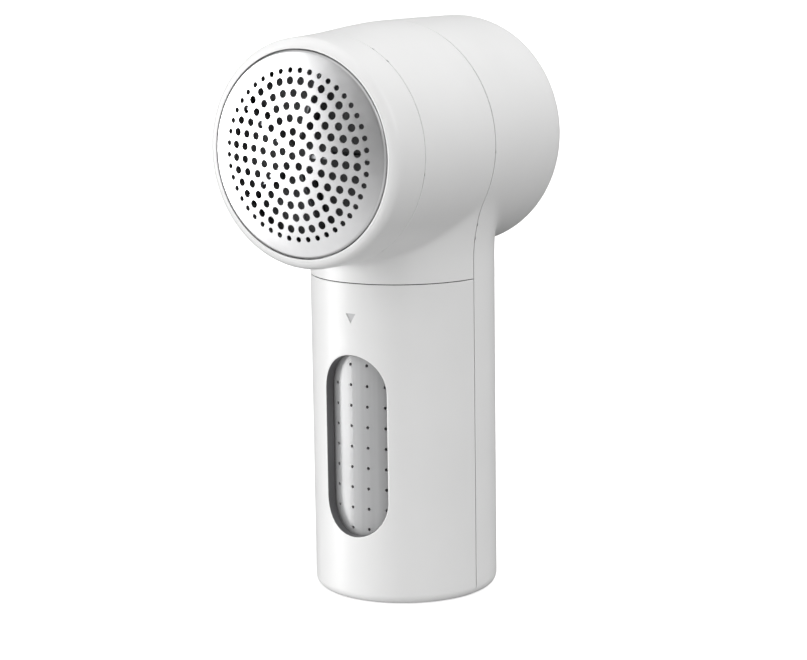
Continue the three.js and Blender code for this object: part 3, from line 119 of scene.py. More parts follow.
def clear():
    if bpy.context.object and bpy.context.object.mode != "OBJECT":
        done()
    bpy.ops.object.select_all(action="DESELECT")


def work_on(piece):
    clear()
    piece.select_set(True)
    bpy.context.view_layer.objects.active = piece


def edit_all():
    """Edit mode with the whole mesh selected."""
    bpy.ops.object.mode_set(mode="EDIT")
    bpy.ops.mesh.select_all(action="SELECT")


def added(name):
    """The object that was just added, named, with its place moved into its mesh."""
    piece = bpy.context.object
    piece.name = name
    piece.data.name = name
    bpy.ops.object.transform_apply(location=True, rotation=True, scale=True)
    return piece


# %% Pick by place
def pick(piece, test, kind="verts"):
    """Edit mode with only the verts, edges or faces that pass a test; returns how many."""
    work_on(piece)
    bpy.ops.object.mode_set(mode="EDIT")
    modes = [kind == "verts", kind == "edges", kind == "faces"]
    bpy.context.tool_settings.mesh_select_mode = modes
    mesh = bmesh.from_edit_mesh(piece.data)
    for part in (*mesh.verts, *mesh.edges, *mesh.faces):
        part.select = False
    found = 0
    for part in getattr(mesh, kind):
        if test(part):
            part.select_set(True)
            found += 1
    if kind == "verts":
        mesh.select_flush(True)
    bmesh.update_edit_mesh(piece.data)
    return found


# %% Modifiers and cuts, applied at once
def modify(piece, kind, **settings):
    work_on(piece)
    modifier = piece.modifiers.new(kind.title(), kind)
    for key, value in settings.items():
        setattr(modifier, key, value)
    bpy.ops.object.modifier_apply(modifier=modifier.name)


def cut(piece, tool, operation="DIFFERENCE", solver="EXACT"):
    modify(piece, "BOOLEAN", operation=operation, object=tool, solver=solver)
    bpy.data.objects.remove(tool)


def outwards(piece):
    """Merge doubled points and turn every face to the outside."""
    work_on(piece)
    edit_all()
    bpy.ops.mesh.remove_doubles(threshold=1e-6)
    bpy.ops.mesh.normals_make_consistent(inside=False)
    done()


def smooth(piece, degrees=35):
    work_on(piece)
    bpy.ops.object.shade_smooth_by_angle(angle=math.radians(degrees))


def copied(piece, name):
    twin = piece.copy()
    twin.data = piece.data.copy()
    twin.name = name
    bpy.context.scene.collection.objects.link(twin)
    return twin


def join_to(target, pieces):
    """Make the pieces part of the target's mesh."""
    clear()
    for piece in (*pieces, target):
        piece.select_set(True)
    bpy.context.view_layer.objects.active = target
    bpy.ops.object.join()


def count(piece):
    triangles = sum(len(p.vertices) - 2 for p in piece.data.polygons)
    print(f"{piece.name}: {triangles} triangles")


# %% [markdown]
# ## Turned pieces
#
# Most of this object is round. A turned piece starts as one circle. The circle is extruded
# and resized ring by ring, as on a lathe: each ring has a radius and a place on the axis.
# A spin would do the same, but the rings let us widen the neck sideways as we go.

# %% Rings along an axis
def extrude(step):
    bpy.ops.mesh.extrude_region_move(TRANSFORM_OT_translate={"value": step})


def extrude_rings(rings, axis):
    """Draw the picked ring, which is the first of the rings, through all the others."""
    for (radius, place), (next_radius, next_place) in zip(rings, rings[1:]):
        step, factor = next_place - place, next_radius / radius
        extrude((0, step, 0) if axis == "Y" else (0, 0, step))
        bpy.ops.transform.resize(
            value=(factor, 1, factor) if axis == "Y" else (factor, factor, 1)
        )


def turned(name, rings, axis="Y", sides=96, centre=None, closed=False):
    """Rings are (radius, place) in metres; closed joins the last ring to the first.
    The centre is (x, z) for an axis along Y, the barrel's by default, or (x, y) along Z."""
    clear()
    centre = centre or ((0, HEAD_Z) if axis == "Y" else (0, 0))
    first_radius, first_place = rings[0]
    across = (centre[0], first_place, centre[1])
    upright = (centre[0], centre[1], first_place)
    bpy.ops.mesh.primitive_circle_add(
        vertices=sides,
        radius=first_radius,
        fill_type="NOTHING",
        location=across if axis == "Y" else upright,
        rotation=(math.pi / 2, 0, 0) if axis == "Y" else (0, 0, 0),
    )
    piece = added(name)
    edit_all()
    if not closed:
        bpy.ops.mesh.edge_face_add()
    extrude_rings(rings, axis)
    done()
    outwards(piece)
    return piece


def rounding(radius, place, size, start, end, steps=6):
    """Points of a rounded corner about (radius, place), angles in degrees from outwards."""
    points = []
    for i in range(steps + 1):
        a = math.radians(start + (end - start) * i / steps)
        points.append((radius + size * math.cos(a), place + size * math.sin(a)))
    return points


# %% [markdown]
# ## Camera
#
# The camera stands in front, to the right of the net, and a little above the head. A long
# lens keeps the handle's sides almost parallel.

# %% Place the camera
CAMERA_YAW = math.radians(33.81)
CAMERA_PITCH = math.radians(10.25)
CAMERA_ROLL = math.radians(-0.78)
CAMERA_DISTANCE = 627.1 * MM
CAMERA_AIM = Vector((0, 0, 80 * MM))
CAMERA_SHIFT = (0.04 * MM, -12.1 * MM)  # how far the aim moves right and up
CAMERA_LENS = 107.1  # millimetres, on a 36 mm wide sensor

back = Vector((
    math.sin(CAMERA_YAW) * math.cos(CAMERA_PITCH),
    -math.cos(CAMERA_YAW) * math.cos(CAMERA_PITCH),
    math.sin(CAMERA_PITCH),
))
right = Vector((math.cos(CAMERA_YAW), math.sin(CAMERA_YAW), 0))
up = back.cross(right)
position = CAMERA_AIM + right * CAMERA_SHIFT[0] + up * CAMERA_SHIFT[1] + back * CAMERA_DISTANCE
rolled_right = right * math.cos(CAMERA_ROLL) + up * math.sin(CAMERA_ROLL)
rolled_up = up * math.cos(CAMERA_ROLL) - right * math.sin(CAMERA_ROLL)
turn = Matrix((rolled_right, rolled_up, back)).transposed()

camera_data = bpy.data.cameras.new("camera")
camera_data.lens = CAMERA_LENS
camera_data.sensor_width = 36
camera_data.clip_end = 100
camera = bpy.data.objects.new("camera", camera_data)
camera.matrix_world = Matrix.Translation(position) @ turn.to_4x4()
bpy.context.scene.collection.objects.link(camera)
bpy.context.scene.camera = camera
print("camera stands", round((position - CAMERA_AIM).length, 3), "m from the handle")

# %% [markdown]
# ## Floor and light
#
# A white object before pure white keeps its form only if light comes from one side more than
# from the other. The floor and the backdrop could light it too, but then it goes flat. So
# both are only seen: neither lights the object or shows in its gloss. The form is drawn by a
# low, wide key lamp at the left, with weak lamps in front, above, at the right and behind.
# The surroundings fill the rest and are what the gloss shows: a pale panel low at the left,
# pale light from below, and two dark panels, one behind at the left and one in front, which
# lets the net's middle go darker.

# %% Floor, a white sheet that glows a little so that it stays white out to its far end
clear()
bpy.ops.mesh.primitive_plane_add(size=60, location=(0, 0, 0))
floor = added("floor")
FLOOR_GLOW = 0.5
paper = bpy.data.materials.new("floor_paper")
paper.use_nodes = True
paper_shader = paper.node_tree.nodes["Principled BSDF"]
paper_shader.inputs["Base Color"].default_value = (0.8, 0.8, 0.8, 1)
paper_shader.inputs["Roughness"].default_value = 0.9
paper_shader.inputs["Emission Color"].default_value = (1, 1, 1, 1)
paper_shader.inputs["Emission Strength"].default_value = FLOOR_GLOW
floor.data.materials.append(paper)
floor.visible_diffuse = False
floor.visible_glossy = False

# %% Backdrop, a white sky that only the camera sees
BACKDROP_RADIUS = 6  # metres, near enough for any camera about the object to reach
bpy.ops.mesh.primitive_ico_sphere_add(subdivisions=4, radius=BACKDROP_RADIUS)
backdrop = added("backdrop")
white_sky = bpy.data.materials.new("white_sky")
white_sky.use_nodes = True
sky_shader = white_sky.node_tree.nodes["Principled BSDF"]
sky_shader.inputs["Base Color"].default_value = (0, 0, 0, 1)
sky_shader.inputs["Emission Color"].default_value = (1, 1, 1, 1)
sky_shader.inputs["Emission Strength"].default_value = 1.05
backdrop.data.materials.append(white_sky)
backdrop.visible_diffuse = False
backdrop.visible_glossy = False
backdrop.visible_transmission = False
backdrop.visible_shadow = False


# %% Lamps
def direction(azimuth, elevation):
    """A unit vector; azimuth 0 is in front, along -Y, and positive to the right."""
    a, e = math.radians(azimuth), math.radians(elevation)
    return Vector((math.sin(a) * math.cos(e), -math.cos(a) * math.cos(e), math.sin(e)))


def lamp(name, azimuth, elevation, spread, strength, mirrored=True):
    """A wide, far lamp; a sun with a large disc lights the floor evenly to its far end.
    A lamp that isn't mirrored lights the surfaces but shows in no gloss."""
    away = direction(azimuth, elevation)
    data = bpy.data.lights.new(name, "SUN")
    data.angle = math.radians(spread)
    data.energy = strength
    one = bpy.data.objects.new(name, data)
    one.location = away
    one.rotation_euler = away.to_track_quat("Z", "Y").to_euler()
    one.visible_glossy = mirrored
    bpy.context.scene.collection.objects.link(one)


lamp("key_light", -58, 2, 38, 2.3)
lamp("front_light", -18, 5, 60, 0.6, mirrored=False)
lamp("top_light", 60, 65, 60, 0.8, mirrored=False)
lamp("side_light", 100, 30, 40, 0.6)
lamp("back_light", 180, 12, 60, 0.9, mirrored=False)


# %% Surroundings: a big studio, brighter overhead than near the floor
def surroundings(level, rise, glows):
    """Light from all round: level at the horizon, more by rise overhead, and soft glows.
    A glow is (strength, azimuth, elevation, half width); a dark panel has a strength below 0."""
    world = bpy.data.worlds.new("studio")
    world.use_nodes = True
    tree = world.node_tree
    place = tree.nodes.new("ShaderNodeTexCoord")
    split = tree.nodes.new("ShaderNodeSeparateXYZ")
    height = tree.nodes.new("ShaderNodeMath")
    height.operation = "MULTIPLY_ADD"
    height.inputs[1].default_value = rise
    height.inputs[2].default_value = level
    tree.links.new(place.outputs["Generated"], split.inputs["Vector"])
    tree.links.new(split.outputs["Z"], height.inputs[0])
    total = height.outputs["Value"]
    for strength, azimuth, elevation, half_width in glows:
        toward = tree.nodes.new("ShaderNodeVectorMath")
        toward.operation = "DOT_PRODUCT"
        toward.inputs[1].default_value = direction(azimuth, elevation)
        lobe = tree.nodes.new("ShaderNodeMapRange")
        lobe.interpolation_type = "SMOOTHSTEP"
        lobe.inputs["From Min"].default_value = math.cos(math.radians(half_width))
        lobe.inputs["To Max"].default_value = strength
        both = tree.nodes.new("ShaderNodeMath")
        tree.links.new(place.outputs["Generated"], toward.inputs[0])
        tree.links.new(toward.outputs["Value"], lobe.inputs["Value"])
        tree.links.new(total, both.inputs[0])
        tree.links.new(lobe.outputs["Result"], both.inputs[1])
        total = both.outputs["Value"]
    background = tree.nodes["Background"]
    background.inputs["Color"].default_value = (1, 1, 1, 1)
    tree.links.new(total, background.inputs["Strength"])
    bpy.context.scene.world = world


LEFT_PANEL = (0.72, -50, -18, 42)
DARK_PANEL = (-0.2, -125, 5, 70)
FRONT_FLAG = (-0.38, 2, 4, 38)
FLOOR_BOUNCE = (0.68, 25, -58, 75)
surroundings(0.37, 0.49, (LEFT_PANEL, DARK_PANEL, FRONT_FLAG, FLOOR_BOUNCE))
bpy.context.scene.view_settings.view_transform = "Standard"

# %% [markdown]
# ## The outer form
#
# On the real shaver the head housing is one flowing shape: a barrel that lies along Y and a
# neck that comes straight up the handle and flares sideways into it. Cutting two shapes out
# of each other would leave a knife-sharp inner corner. So the barrel and the neck are joined
# first, remeshed into even squares, and the corner is relaxed until it reads as a small
# moulded fillet. Every shell is then cut out of this one form, so their surfaces line up.


# %% The barrel's curve
def barrel_radius(y):
    """A smooth curve through the four radii that set the barrel's form."""
    stations = (
        (CAP_FACE_Y, CAP_FACE_RADIUS, 0.03),
        (CAP_SEAM_Y, CAP_SEAM_RADIUS, 0.047),
        (SPLIT_Y, SPLIT_RADIUS, 0.0),
        (REAR_Y, REAR_RADIUS, -0.012),
    )
    for (y0, r0, slope0), (y1, r1, slope1) in zip(stations, stations[1:]):
        if y <= y1:
            break
    span = y1 - y0
    t = (y - y0) / span
    return (
        r0 * (1 + 2 * t) * (1 - t) ** 2
        + slope0 * span * t * (1 - t) ** 2
        + r1 * t * t * (3 - 2 * t)
        - slope1 * span * t * t * (1 - t)
    )


def barrel_rings(front, behind, step=2 * MM):
    places = max(2, round((behind - front) / step))
    spots = [front + (behind - front) * i / places for i in range(places + 1)]
    return [(barrel_radius(y), y) for y in spots]


rear_start = REAR_Y - REAR_ROUND
rear_corner = barrel_radius(rear_start) - REAR_ROUND
rings = barrel_rings(CAP_SEAM_Y - 2 * MM, rear_start)
rings += rounding(rear_corner, rear_start, REAR_ROUND, 0, 90, 10)[1:]
barrel = turned("barrel_form", rings, sides=160)
count(barrel)

# %% The handle with its flared neck
flare_base = (NECK_FLARE + SPLIT_RADIUS) ** 2 - (HANDLE_RADIUS + NECK_FLARE) ** 2
FLARE_LOW_Z = HEAD_Z - math.sqrt(flare_base)
flare_share = NECK_FLARE / (NECK_FLARE + SPLIT_RADIUS)
FLARE_HIGH_Z = FLARE_LOW_Z + (HEAD_Z - FLARE_LOW_Z) * flare_share


def handle_form(name, sides=192):
    """The handle as one closed solid: rounded base, straight grip, neck widened along X."""
    corner = HANDLE_RADIUS - BASE_ROUND
    rings = rounding(corner, BASE_ROUND, BASE_ROUND, -90, 0, 8)
    grip_steps = 40
    grip = FLARE_LOW_Z - BASE_ROUND
    rings += [
        (HANDLE_RADIUS, BASE_ROUND + grip * (i + 1) / grip_steps) for i in range(grip_steps)
    ]
    piece = turned(name, rings, axis="Z", sides=sides)
    pick(piece, lambda v: v.co.z > FLARE_LOW_Z - 0.01 * MM)
    steps = 12
    width = HANDLE_RADIUS
    for i in range(steps):
        rise = (FLARE_HIGH_Z - FLARE_LOW_Z) * (i + 1) / steps
        next_width = HANDLE_RADIUS + NECK_FLARE - math.sqrt(NECK_FLARE**2 - rise**2)
        lift = (FLARE_HIGH_Z - FLARE_LOW_Z) / steps
        extrude((0, 0, lift))
        bpy.ops.transform.resize(value=(next_width / width, 1, 1))
        width = next_width
    extrude((0, 0, NECK_TOP_Z - FLARE_HIGH_Z))
    done()
    outwards(piece)
    return piece


handle = handle_form("handle_form")
count(handle)

# %% Join, remesh and relax the inner corner
VOXEL = 0.7 * MM
housing = copied(handle, "housing_form")
cut(housing, barrel, "UNION")
work_on(housing)
housing.data.remesh_voxel_size = VOXEL
housing.data.use_remesh_fix_poles = False
bpy.ops.object.voxel_remesh()


def neck_half_width(z):
    rise = min(max(z - FLARE_LOW_Z, 0), FLARE_HIGH_Z - FLARE_LOW_Z)
    return HANDLE_RADIUS + NECK_FLARE - math.sqrt(NECK_FLARE**2 - rise**2)


def in_corner(v):
    """True near the line where the neck's skin meets the barrel's."""
    x, y, z = v.co
    from_barrel = math.hypot(x, z - HEAD_Z) - barrel_radius(y)
    from_neck = math.hypot(x * HANDLE_RADIUS / neck_half_width(z), y) - HANDLE_RADIUS
    near = 1.6 * MM
    return z < HEAD_Z and abs(from_barrel) < near and abs(from_neck) < near


print("points in the corner:", pick(housing, in_corner))
bpy.ops.mesh.vertices_smooth(factor=0.5, repeat=12)
bpy.ops.mesh.select_all(action="SELECT")
bpy.ops.mesh.vertices_smooth(factor=0.5, repeat=2)
done()
count(housing)


# %% Cut a shell out of a form
NEAR = 0.02 * MM
LIP_DROP = EDGE * 0.8


def slice_off(piece, place, normal):
    """Cut a piece at a plane and throw away what lies on the normal's side."""
    pick(piece, lambda v: True)
    bpy.ops.mesh.bisect(plane_co=place, plane_no=normal, clear_outer=True)
    done()


def break_edge(piece, test, step):
    """Run an open edge on by a hair and draw it in, so that the joint line has soft lips."""
    pick(piece, lambda v: v.is_boundary and test(v.co))
    extrude(step)
    bpy.ops.transform.shrink_fatten(value=-LIP_DROP)
    done()


# %% [markdown]
# ## The three shells
#
# Each shell is the skin of the form between two joint lines. Its open edges are broken, and
# Solidify then gives it the wall of a moulding, inwards, so that the outside stays where it is.

# %% Front housing
front = copied(housing, "front_housing_shell")
slice_off(front, (0, SPLIT_Y - LIP, 0), (0, 1, 0))
slice_off(front, (0, CAP_SEAM_Y + LIP, 0), (0, -1, 0))
slice_off(front, (0, 0, BIN_SEAM_Z + LIP), (0, 0, -1))
break_edge(front, lambda p: abs(p.y - SPLIT_Y + LIP) < NEAR, (0, EDGE, 0))
break_edge(front, lambda p: abs(p.z - BIN_SEAM_Z - LIP) < NEAR, (0, 0, -EDGE))
break_edge(front, lambda p: abs(p.y - CAP_SEAM_Y - LIP) < NEAR, (0, -EDGE, 0))
SPIGOT_ROOM = 25.9 * MM
pick(front, lambda v: v.is_boundary and v.co.y < CAP_SEAM_Y + LIP)
face_factor = SPIGOT_ROOM / CAP_SEAM_RADIUS
bpy.ops.mesh.extrude_region_move()
bpy.ops.transform.resize(
    value=(face_factor, 1, face_factor), center_override=(0, CAP_SEAM_Y, HEAD_Z)
)
modify(front, "SOLIDIFY", thickness=WALL, offset=-1, use_even_offset=True)
smooth(front)
count(front)

# %% Rear housing
rear = copied(housing, "rear_housing_shell")
slice_off(rear, (0, SPLIT_Y + LIP, 0), (0, -1, 0))
break_edge(rear, lambda p: abs(p.y - SPLIT_Y - LIP) < NEAR, (0, -EDGE, 0))
modify(rear, "SOLIDIFY", thickness=WALL, offset=-1, use_even_offset=True)
smooth(rear)
count(rear)

# %% Lap of the rear housing: a thin lip that stands behind the joint line and shuts out light
LAP_DEPTH = 2.12 * MM
LAP_WALL = 0.6 * MM
LAP_BACK_Y = SPLIT_Y + 1.6 * MM
LAP_FRONT_Y = SPLIT_Y - 1.2 * MM
LAP_LOW_Z = BIN_SEAM_Z + 0.8 * MM
lap = copied(housing, "rear_lap")
slice_off(lap, (0, LAP_BACK_Y, 0), (0, 1, 0))
slice_off(lap, (0, LAP_FRONT_Y, 0), (0, -1, 0))
slice_off(lap, (0, 0, LAP_LOW_Z), (0, 0, -1))
pick(lap, lambda v: True)
bpy.ops.transform.shrink_fatten(value=-LAP_DEPTH)
done()
modify(lap, "SOLIDIFY", thickness=LAP_WALL, offset=-1)
join_to(rear, [lap])
smooth(rear)
count(rear)

# %% Bin shell
bin_shell = copied(handle, "bin_front_shell")
slice_off(bin_shell, (0, SPLIT_Y - LIP, 0), (0, 1, 0))
slice_off(bin_shell, (0, 0, BIN_SEAM_Z - LIP), (0, 0, 1))
break_edge(bin_shell, lambda p: abs(p.y - SPLIT_Y + LIP) < NEAR, (0, EDGE, 0))
break_edge(bin_shell, lambda p: abs(p.z - BIN_SEAM_Z + LIP) < NEAR, (0, 0, EDGE))
modify(bin_shell, "SOLIDIFY", thickness=WALL, offset=-1, use_even_offset=True)
count(bin_shell)

# %% [markdown]
# ## Window and arrow mark
#
# The window is a slot with round ends that wraps round the handle, so the tool that cuts it
# is shaped the same way: rings of a slot outline, each pushed to its own distance from the
# handle's axis. The last rings flare out, and the cut then leaves a soft edge by itself.

# %% The slot's cutting tool
WINDOW_HALF_ANGLE = math.radians(22.8)
WINDOW_LOW_Z = 17.4 * MM
WINDOW_HIGH_Z = BIN_SEAM_Z - 18.7 * MM


def slot_outline(grow, distance, steps=20):
    """A slot outline on a cylinder about the handle's axis, grown all round."""
    half = HANDLE_RADIUS * WINDOW_HALF_ANGLE
    points = []
    for centre, start in ((WINDOW_HIGH_Z - half, 0), (WINDOW_LOW_Z + half, math.pi)):
        for i in range(steps + 1):
            a = start + math.pi * i / steps
            across = (half + grow) * math.cos(a) / HANDLE_RADIUS
            z = centre + (half + grow) * math.sin(a)
            points.append((distance * math.sin(across), -distance * math.cos(across), z))
    return points


def lofted(name, loops):
    """A closed solid through loops of equal length: one ring, extruded and laid on each."""
    clear()
    bpy.ops.mesh.primitive_circle_add(vertices=len(loops[0]), fill_type="NGON")
    piece = added(name)
    for v, spot in zip(piece.data.vertices, loops[0]):
        v.co = spot
    edit_all()
    for last, loop in zip(loops, loops[1:]):
        bpy.ops.mesh.extrude_region_move()
        mesh = bmesh.from_edit_mesh(piece.data)
        for v in (v for v in mesh.verts if v.select):
            nearest = min(range(len(last)), key=lambda i: (v.co - Vector(last[i])).length)
            v.co = loop[nearest]
        bmesh.update_edit_mesh(piece.data)
    done()
    outwards(piece)
    return piece


slot_tool = lofted("slot_tool", [
    slot_outline(0, HANDLE_RADIUS - 2.6 * MM),
    slot_outline(0, HANDLE_RADIUS - 0.45 * MM),
    slot_outline(0.05 * MM, HANDLE_RADIUS - 0.24 * MM),
    slot_outline(0.16 * MM, HANDLE_RADIUS - 0.08 * MM),
    slot_outline(0.36 * MM, HANDLE_RADIUS + 0.02 * MM),
    slot_outline(0.4 * MM, HANDLE_RADIUS + 3 * MM),
])
cut(bin_shell, slot_tool)

# %% The arrow mark, a shallow triangle that points the way the bin slides
MARK_Z = BIN_SEAM_Z - 8.6 * MM
MARK_HALF_WIDTH = 1.5 * MM
MARK_HALF_HEIGHT = 1.25 * MM
MARK_DEPTH = 0.24 * MM
clear()
bpy.ops.mesh.primitive_cylinder_add(
    vertices=3,
    radius=1,
    depth=2 * MM,
    location=(0, -HANDLE_RADIUS + MARK_DEPTH - 1 * MM, MARK_Z),
    rotation=(math.pi / 2, math.pi, 0),
)
mark_tool = bpy.context.object
mark_tool.scale = (MARK_HALF_WIDTH * 1.15, MARK_HALF_HEIGHT * 1.33, 1)
bpy.ops.object.transform_apply(scale=True)
cut(bin_shell, mark_tool)
smooth(bin_shell)
modify(bin_shell, "WEIGHTED_NORMAL", weight=100, keep_sharp=True)
count(bin_shell)

# %% [markdown]
# ## Back of the handle
#
# Three openings go through the rear shell: a round one for the power button, a small one for
# the light's lens below it, and the slot of the charging port near the base. Each is cut
# with a plain tool of the opening's own shape.

# %% Openings in the rear housing
FACE_ON = (math.pi / 2, 0, 0)  # turns a flat circle or a rod to face along Y
BUTTON_GAP = 0.3 * MM
button_low, button_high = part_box("power_button")
BUTTON_Z = (button_low.z + button_high.z) / 2
BUTTON_RADIUS = 6.3 * MM
lens_low, lens_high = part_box("indicator_lens")
LENS_Z = (lens_low.z + lens_high.z) / 2
LENS_RADIUS = (lens_high.z - lens_low.z) / 2
port_low, port_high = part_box("usb_socket")
PORT_Z = (port_low.z + port_high.z) / 2
ROUND_TOOL_LENGTH = 12 * MM
PORT_TOOL_LENGTH = 8 * MM


def round_tool(name, radius, z, sides=96):
    clear()
    bpy.ops.mesh.primitive_cylinder_add(
        vertices=sides,
        radius=radius,
        depth=ROUND_TOOL_LENGTH,
        location=(0, HANDLE_RADIUS + 1 * MM, z),
        rotation=FACE_ON,
    )
    return added(name)


def port_tool(grow):
    """A slot with round ends, as wide and high as the port and grown all round."""
    height = port_high.z - port_low.z + 2 * grow
    width = port_high.x - port_low.x + 2 * grow
    clear()
    bpy.ops.mesh.primitive_cube_add(
        size=1,
        location=(0, HANDLE_RADIUS + 3 * MM, PORT_Z),
        scale=(width, PORT_TOOL_LENGTH, height),
    )
    tool = added("port_tool")
    pick(tool, lambda edge: abs(edge.verts[0].co.y - edge.verts[1].co.y) > MM, "edges")
    bpy.ops.mesh.bevel(offset=height * 0.47, segments=8)
    done()
    return tool


cut(rear, round_tool("button_tool", BUTTON_RADIUS + BUTTON_GAP, BUTTON_Z))
cut(rear, round_tool("lens_tool", LENS_RADIUS + BUTTON_GAP, LENS_Z, 32))
cut(rear, port_tool(BUTTON_GAP / 2))
smooth(rear)
modify(rear, "WEIGHTED_NORMAL", weight=100, keep_sharp=True)
count(rear)

# %% [markdown]
# ## Net cap
#
# The cap is a white ring. Its outside carries the barrel's curve on to a rounded front edge,
# its inside has a lip that holds the net, and the skirt behind it screws on to the spigot.
# The whole section is one closed outline, so it is turned in one go.

# %% Cap ring
NET_OPENING_RADIUS = 25.9 * MM
CAP_LIP = 1 * MM
CAP_BORE_RADIUS = 26.8 * MM
OPENING_ROUND = 0.35 * MM
cap_back = CAP_SEAM_Y - VISIBLE_GAP / 2
front_corner = barrel_radius(CAP_FACE_Y + CAP_ROUND) - CAP_ROUND
rings = [(CAP_BORE_RADIUS, cap_back), (CAP_SEAM_RADIUS - EDGE, cap_back)]
rings += [(barrel_radius(cap_back - EDGE), cap_back - EDGE)]
CAP_STEP = 1.5 * MM
skirt = cap_back - CAP_STEP
while skirt > CAP_FACE_Y + CAP_ROUND + 1 * MM:
    rings.append((barrel_radius(skirt), skirt))
    skirt -= CAP_STEP
rings += rounding(front_corner, CAP_FACE_Y + CAP_ROUND, CAP_ROUND, 0, -90, 10)
opening_corner = NET_OPENING_RADIUS + OPENING_ROUND
rings += rounding(opening_corner, CAP_FACE_Y + OPENING_ROUND, OPENING_ROUND, -90, -180, 4)
rings += [(NET_OPENING_RADIUS, CAP_FACE_Y + CAP_LIP), (CAP_BORE_RADIUS, CAP_FACE_Y + CAP_LIP)]
rings += [(CAP_BORE_RADIUS, cap_back)]
cap_ring = turned("net_cap_ring_shell", rings, sides=160, closed=True)
smooth(cap_ring)
count(cap_ring)

# %% [markdown]
# ## Shaving net
#
# The net is the piece that the eye goes to: thin satin steel, domed, with rings of punched
# holes that lint and fluff stand through. It is drawn flat, as the punching tool sees it: one
# big circle and all the holes, filled in one step. The sheet is then domed, its rim is drawn
# back over the edge, and Solidify gives it the sheet's thickness, so each hole has a wall.

# %% Draw and fill the flat net
NET_SIDE_RADIUS = 25.5 * MM
NET_CROWN_RADIUS = NET_SIDE_RADIUS - 0.7 * MM
NET_CROWN_Y = CAP_FACE_Y - 3.2 * MM
NET_DOME_RISE = 2.75 * MM
NET_THICKNESS = 0.5 * MM
NET_FLANGE_Y = CAP_FACE_Y + 1.3 * MM
NET_RINGS = (
    # the ring's radius in mm, number of holes, hole radius in mm, first hole's angle
    (0, 1, 1, 0),
    (3.1, 5, 1, 18),
    (5.9, 12, 1, 28),
    (9.15, 18, 1, 15),
    (12.2, 24, 1, 9),
    (15.2, 30, 1, 6),
    (18.2, 36, 1, 4),
    (20.7, 45, 0.68, 6),
)
clear()
middle = (0, NET_CROWN_Y, HEAD_Z)
bpy.ops.mesh.primitive_circle_add(
    vertices=120, radius=NET_CROWN_RADIUS, location=middle, rotation=FACE_ON
)
net = added("shaving_net_foil")
bpy.ops.object.mode_set(mode="EDIT")
for ring_radius, holes, hole_radius, first in NET_RINGS:
    for i in range(holes):
        a = math.radians(first + 360 * i / holes)
        reach = ring_radius * MM
        bpy.ops.mesh.primitive_circle_add(
            vertices=16,
            radius=hole_radius * MM,
            location=(reach * math.cos(a), NET_CROWN_Y, HEAD_Z + reach * math.sin(a)),
            rotation=FACE_ON,
        )
bpy.ops.mesh.select_all(action="SELECT")
bpy.ops.mesh.fill(use_beauty=True)
done()
print("holes in the net:", sum(ring[1] for ring in NET_RINGS))

# %% Dome it and draw the rim back
dome_radius = (NET_CROWN_RADIUS**2 + NET_DOME_RISE**2) / (2 * NET_DOME_RISE)


def dome_drop(reach):
    return dome_radius - math.sqrt(dome_radius**2 - reach**2)


for v in net.data.vertices:
    v.co.y = NET_CROWN_Y + dome_drop(math.hypot(v.co.x, v.co.z - HEAD_Z))

rim_edge = NET_CROWN_RADIUS - 0.01 * MM
pick(net, lambda v: math.hypot(v.co.x, v.co.z - HEAD_Z) > rim_edge)
dome_edge_y = NET_CROWN_Y + NET_DOME_RISE
rim = [(NET_CROWN_RADIUS, dome_edge_y)]
rim += rounding(NET_CROWN_RADIUS - 0.1 * MM, dome_edge_y + 0.8 * MM, 0.8 * MM, -70, 0, 5)
rim += [(NET_SIDE_RADIUS, NET_FLANGE_Y), (NET_SIDE_RADIUS + 1.1 * MM, NET_FLANGE_Y + 0.05 * MM)]
extrude_rings(rim, "Y")
bpy.ops.mesh.select_all(action="SELECT")
bpy.ops.mesh.normals_make_consistent(inside=False)
done()
facing = sum(p.normal.y * p.area for p in net.data.polygons)
if facing > 0:
    net.data.flip_normals()
modify(net, "SOLIDIFY", thickness=NET_THICKNESS, offset=-1, use_even_offset=True)
modify(net, "BEVEL", width=0.07 * MM, segments=2, limit_method="ANGLE", angle_limit=1.0)
smooth(net, 50)

# %% Give the dome the normals of a true sphere, so that long triangles don't show in it
dome_centre = Vector((0, NET_CROWN_Y + dome_radius, HEAD_Z))
normals = [Vector(n.vector) for n in net.data.corner_normals]
for face in net.data.polygons:
    if face.normal.y > -0.9 or face.center.y > NET_CROWN_Y + NET_DOME_RISE:
        continue
    for corner in face.loop_indices:
        spot = net.data.vertices[net.data.loops[corner].vertex_index].co
        normals[corner] = (spot - dome_centre).normalized()
net.data.normals_split_custom_set(normals)
count(net)

# %% [markdown]
# ## Bin liner
#
# Behind the window stands a smoky cup with rows of fine vents: air leaves through them and
# the lint stays in. Seen from above it is round in front, flat at the back and has straight
# sides, so it starts as a turned cup that planes then cut.

# %% Liner cup
liner_low, liner_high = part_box("bin_liner")
LINER_RADIUS = -liner_low.y
LINER_WALL = 1.2 * MM
LINER_ROUND = 1.6 * MM
rings = rounding(
    LINER_RADIUS - LINER_ROUND, liner_low.z + LINER_ROUND, LINER_ROUND, -90, 0, 6
)
rings += [(LINER_RADIUS, liner_high.z)]
liner = turned("bin_liner_cup", rings, axis="Z", sides=144)


def face_off(piece, place, normal):
    """Cut a solid at a plane, throw away the normal's side and close the cut."""
    pick(piece, lambda v: True)
    bpy.ops.mesh.bisect(plane_co=place, plane_no=normal, clear_outer=True, use_fill=True)
    done()


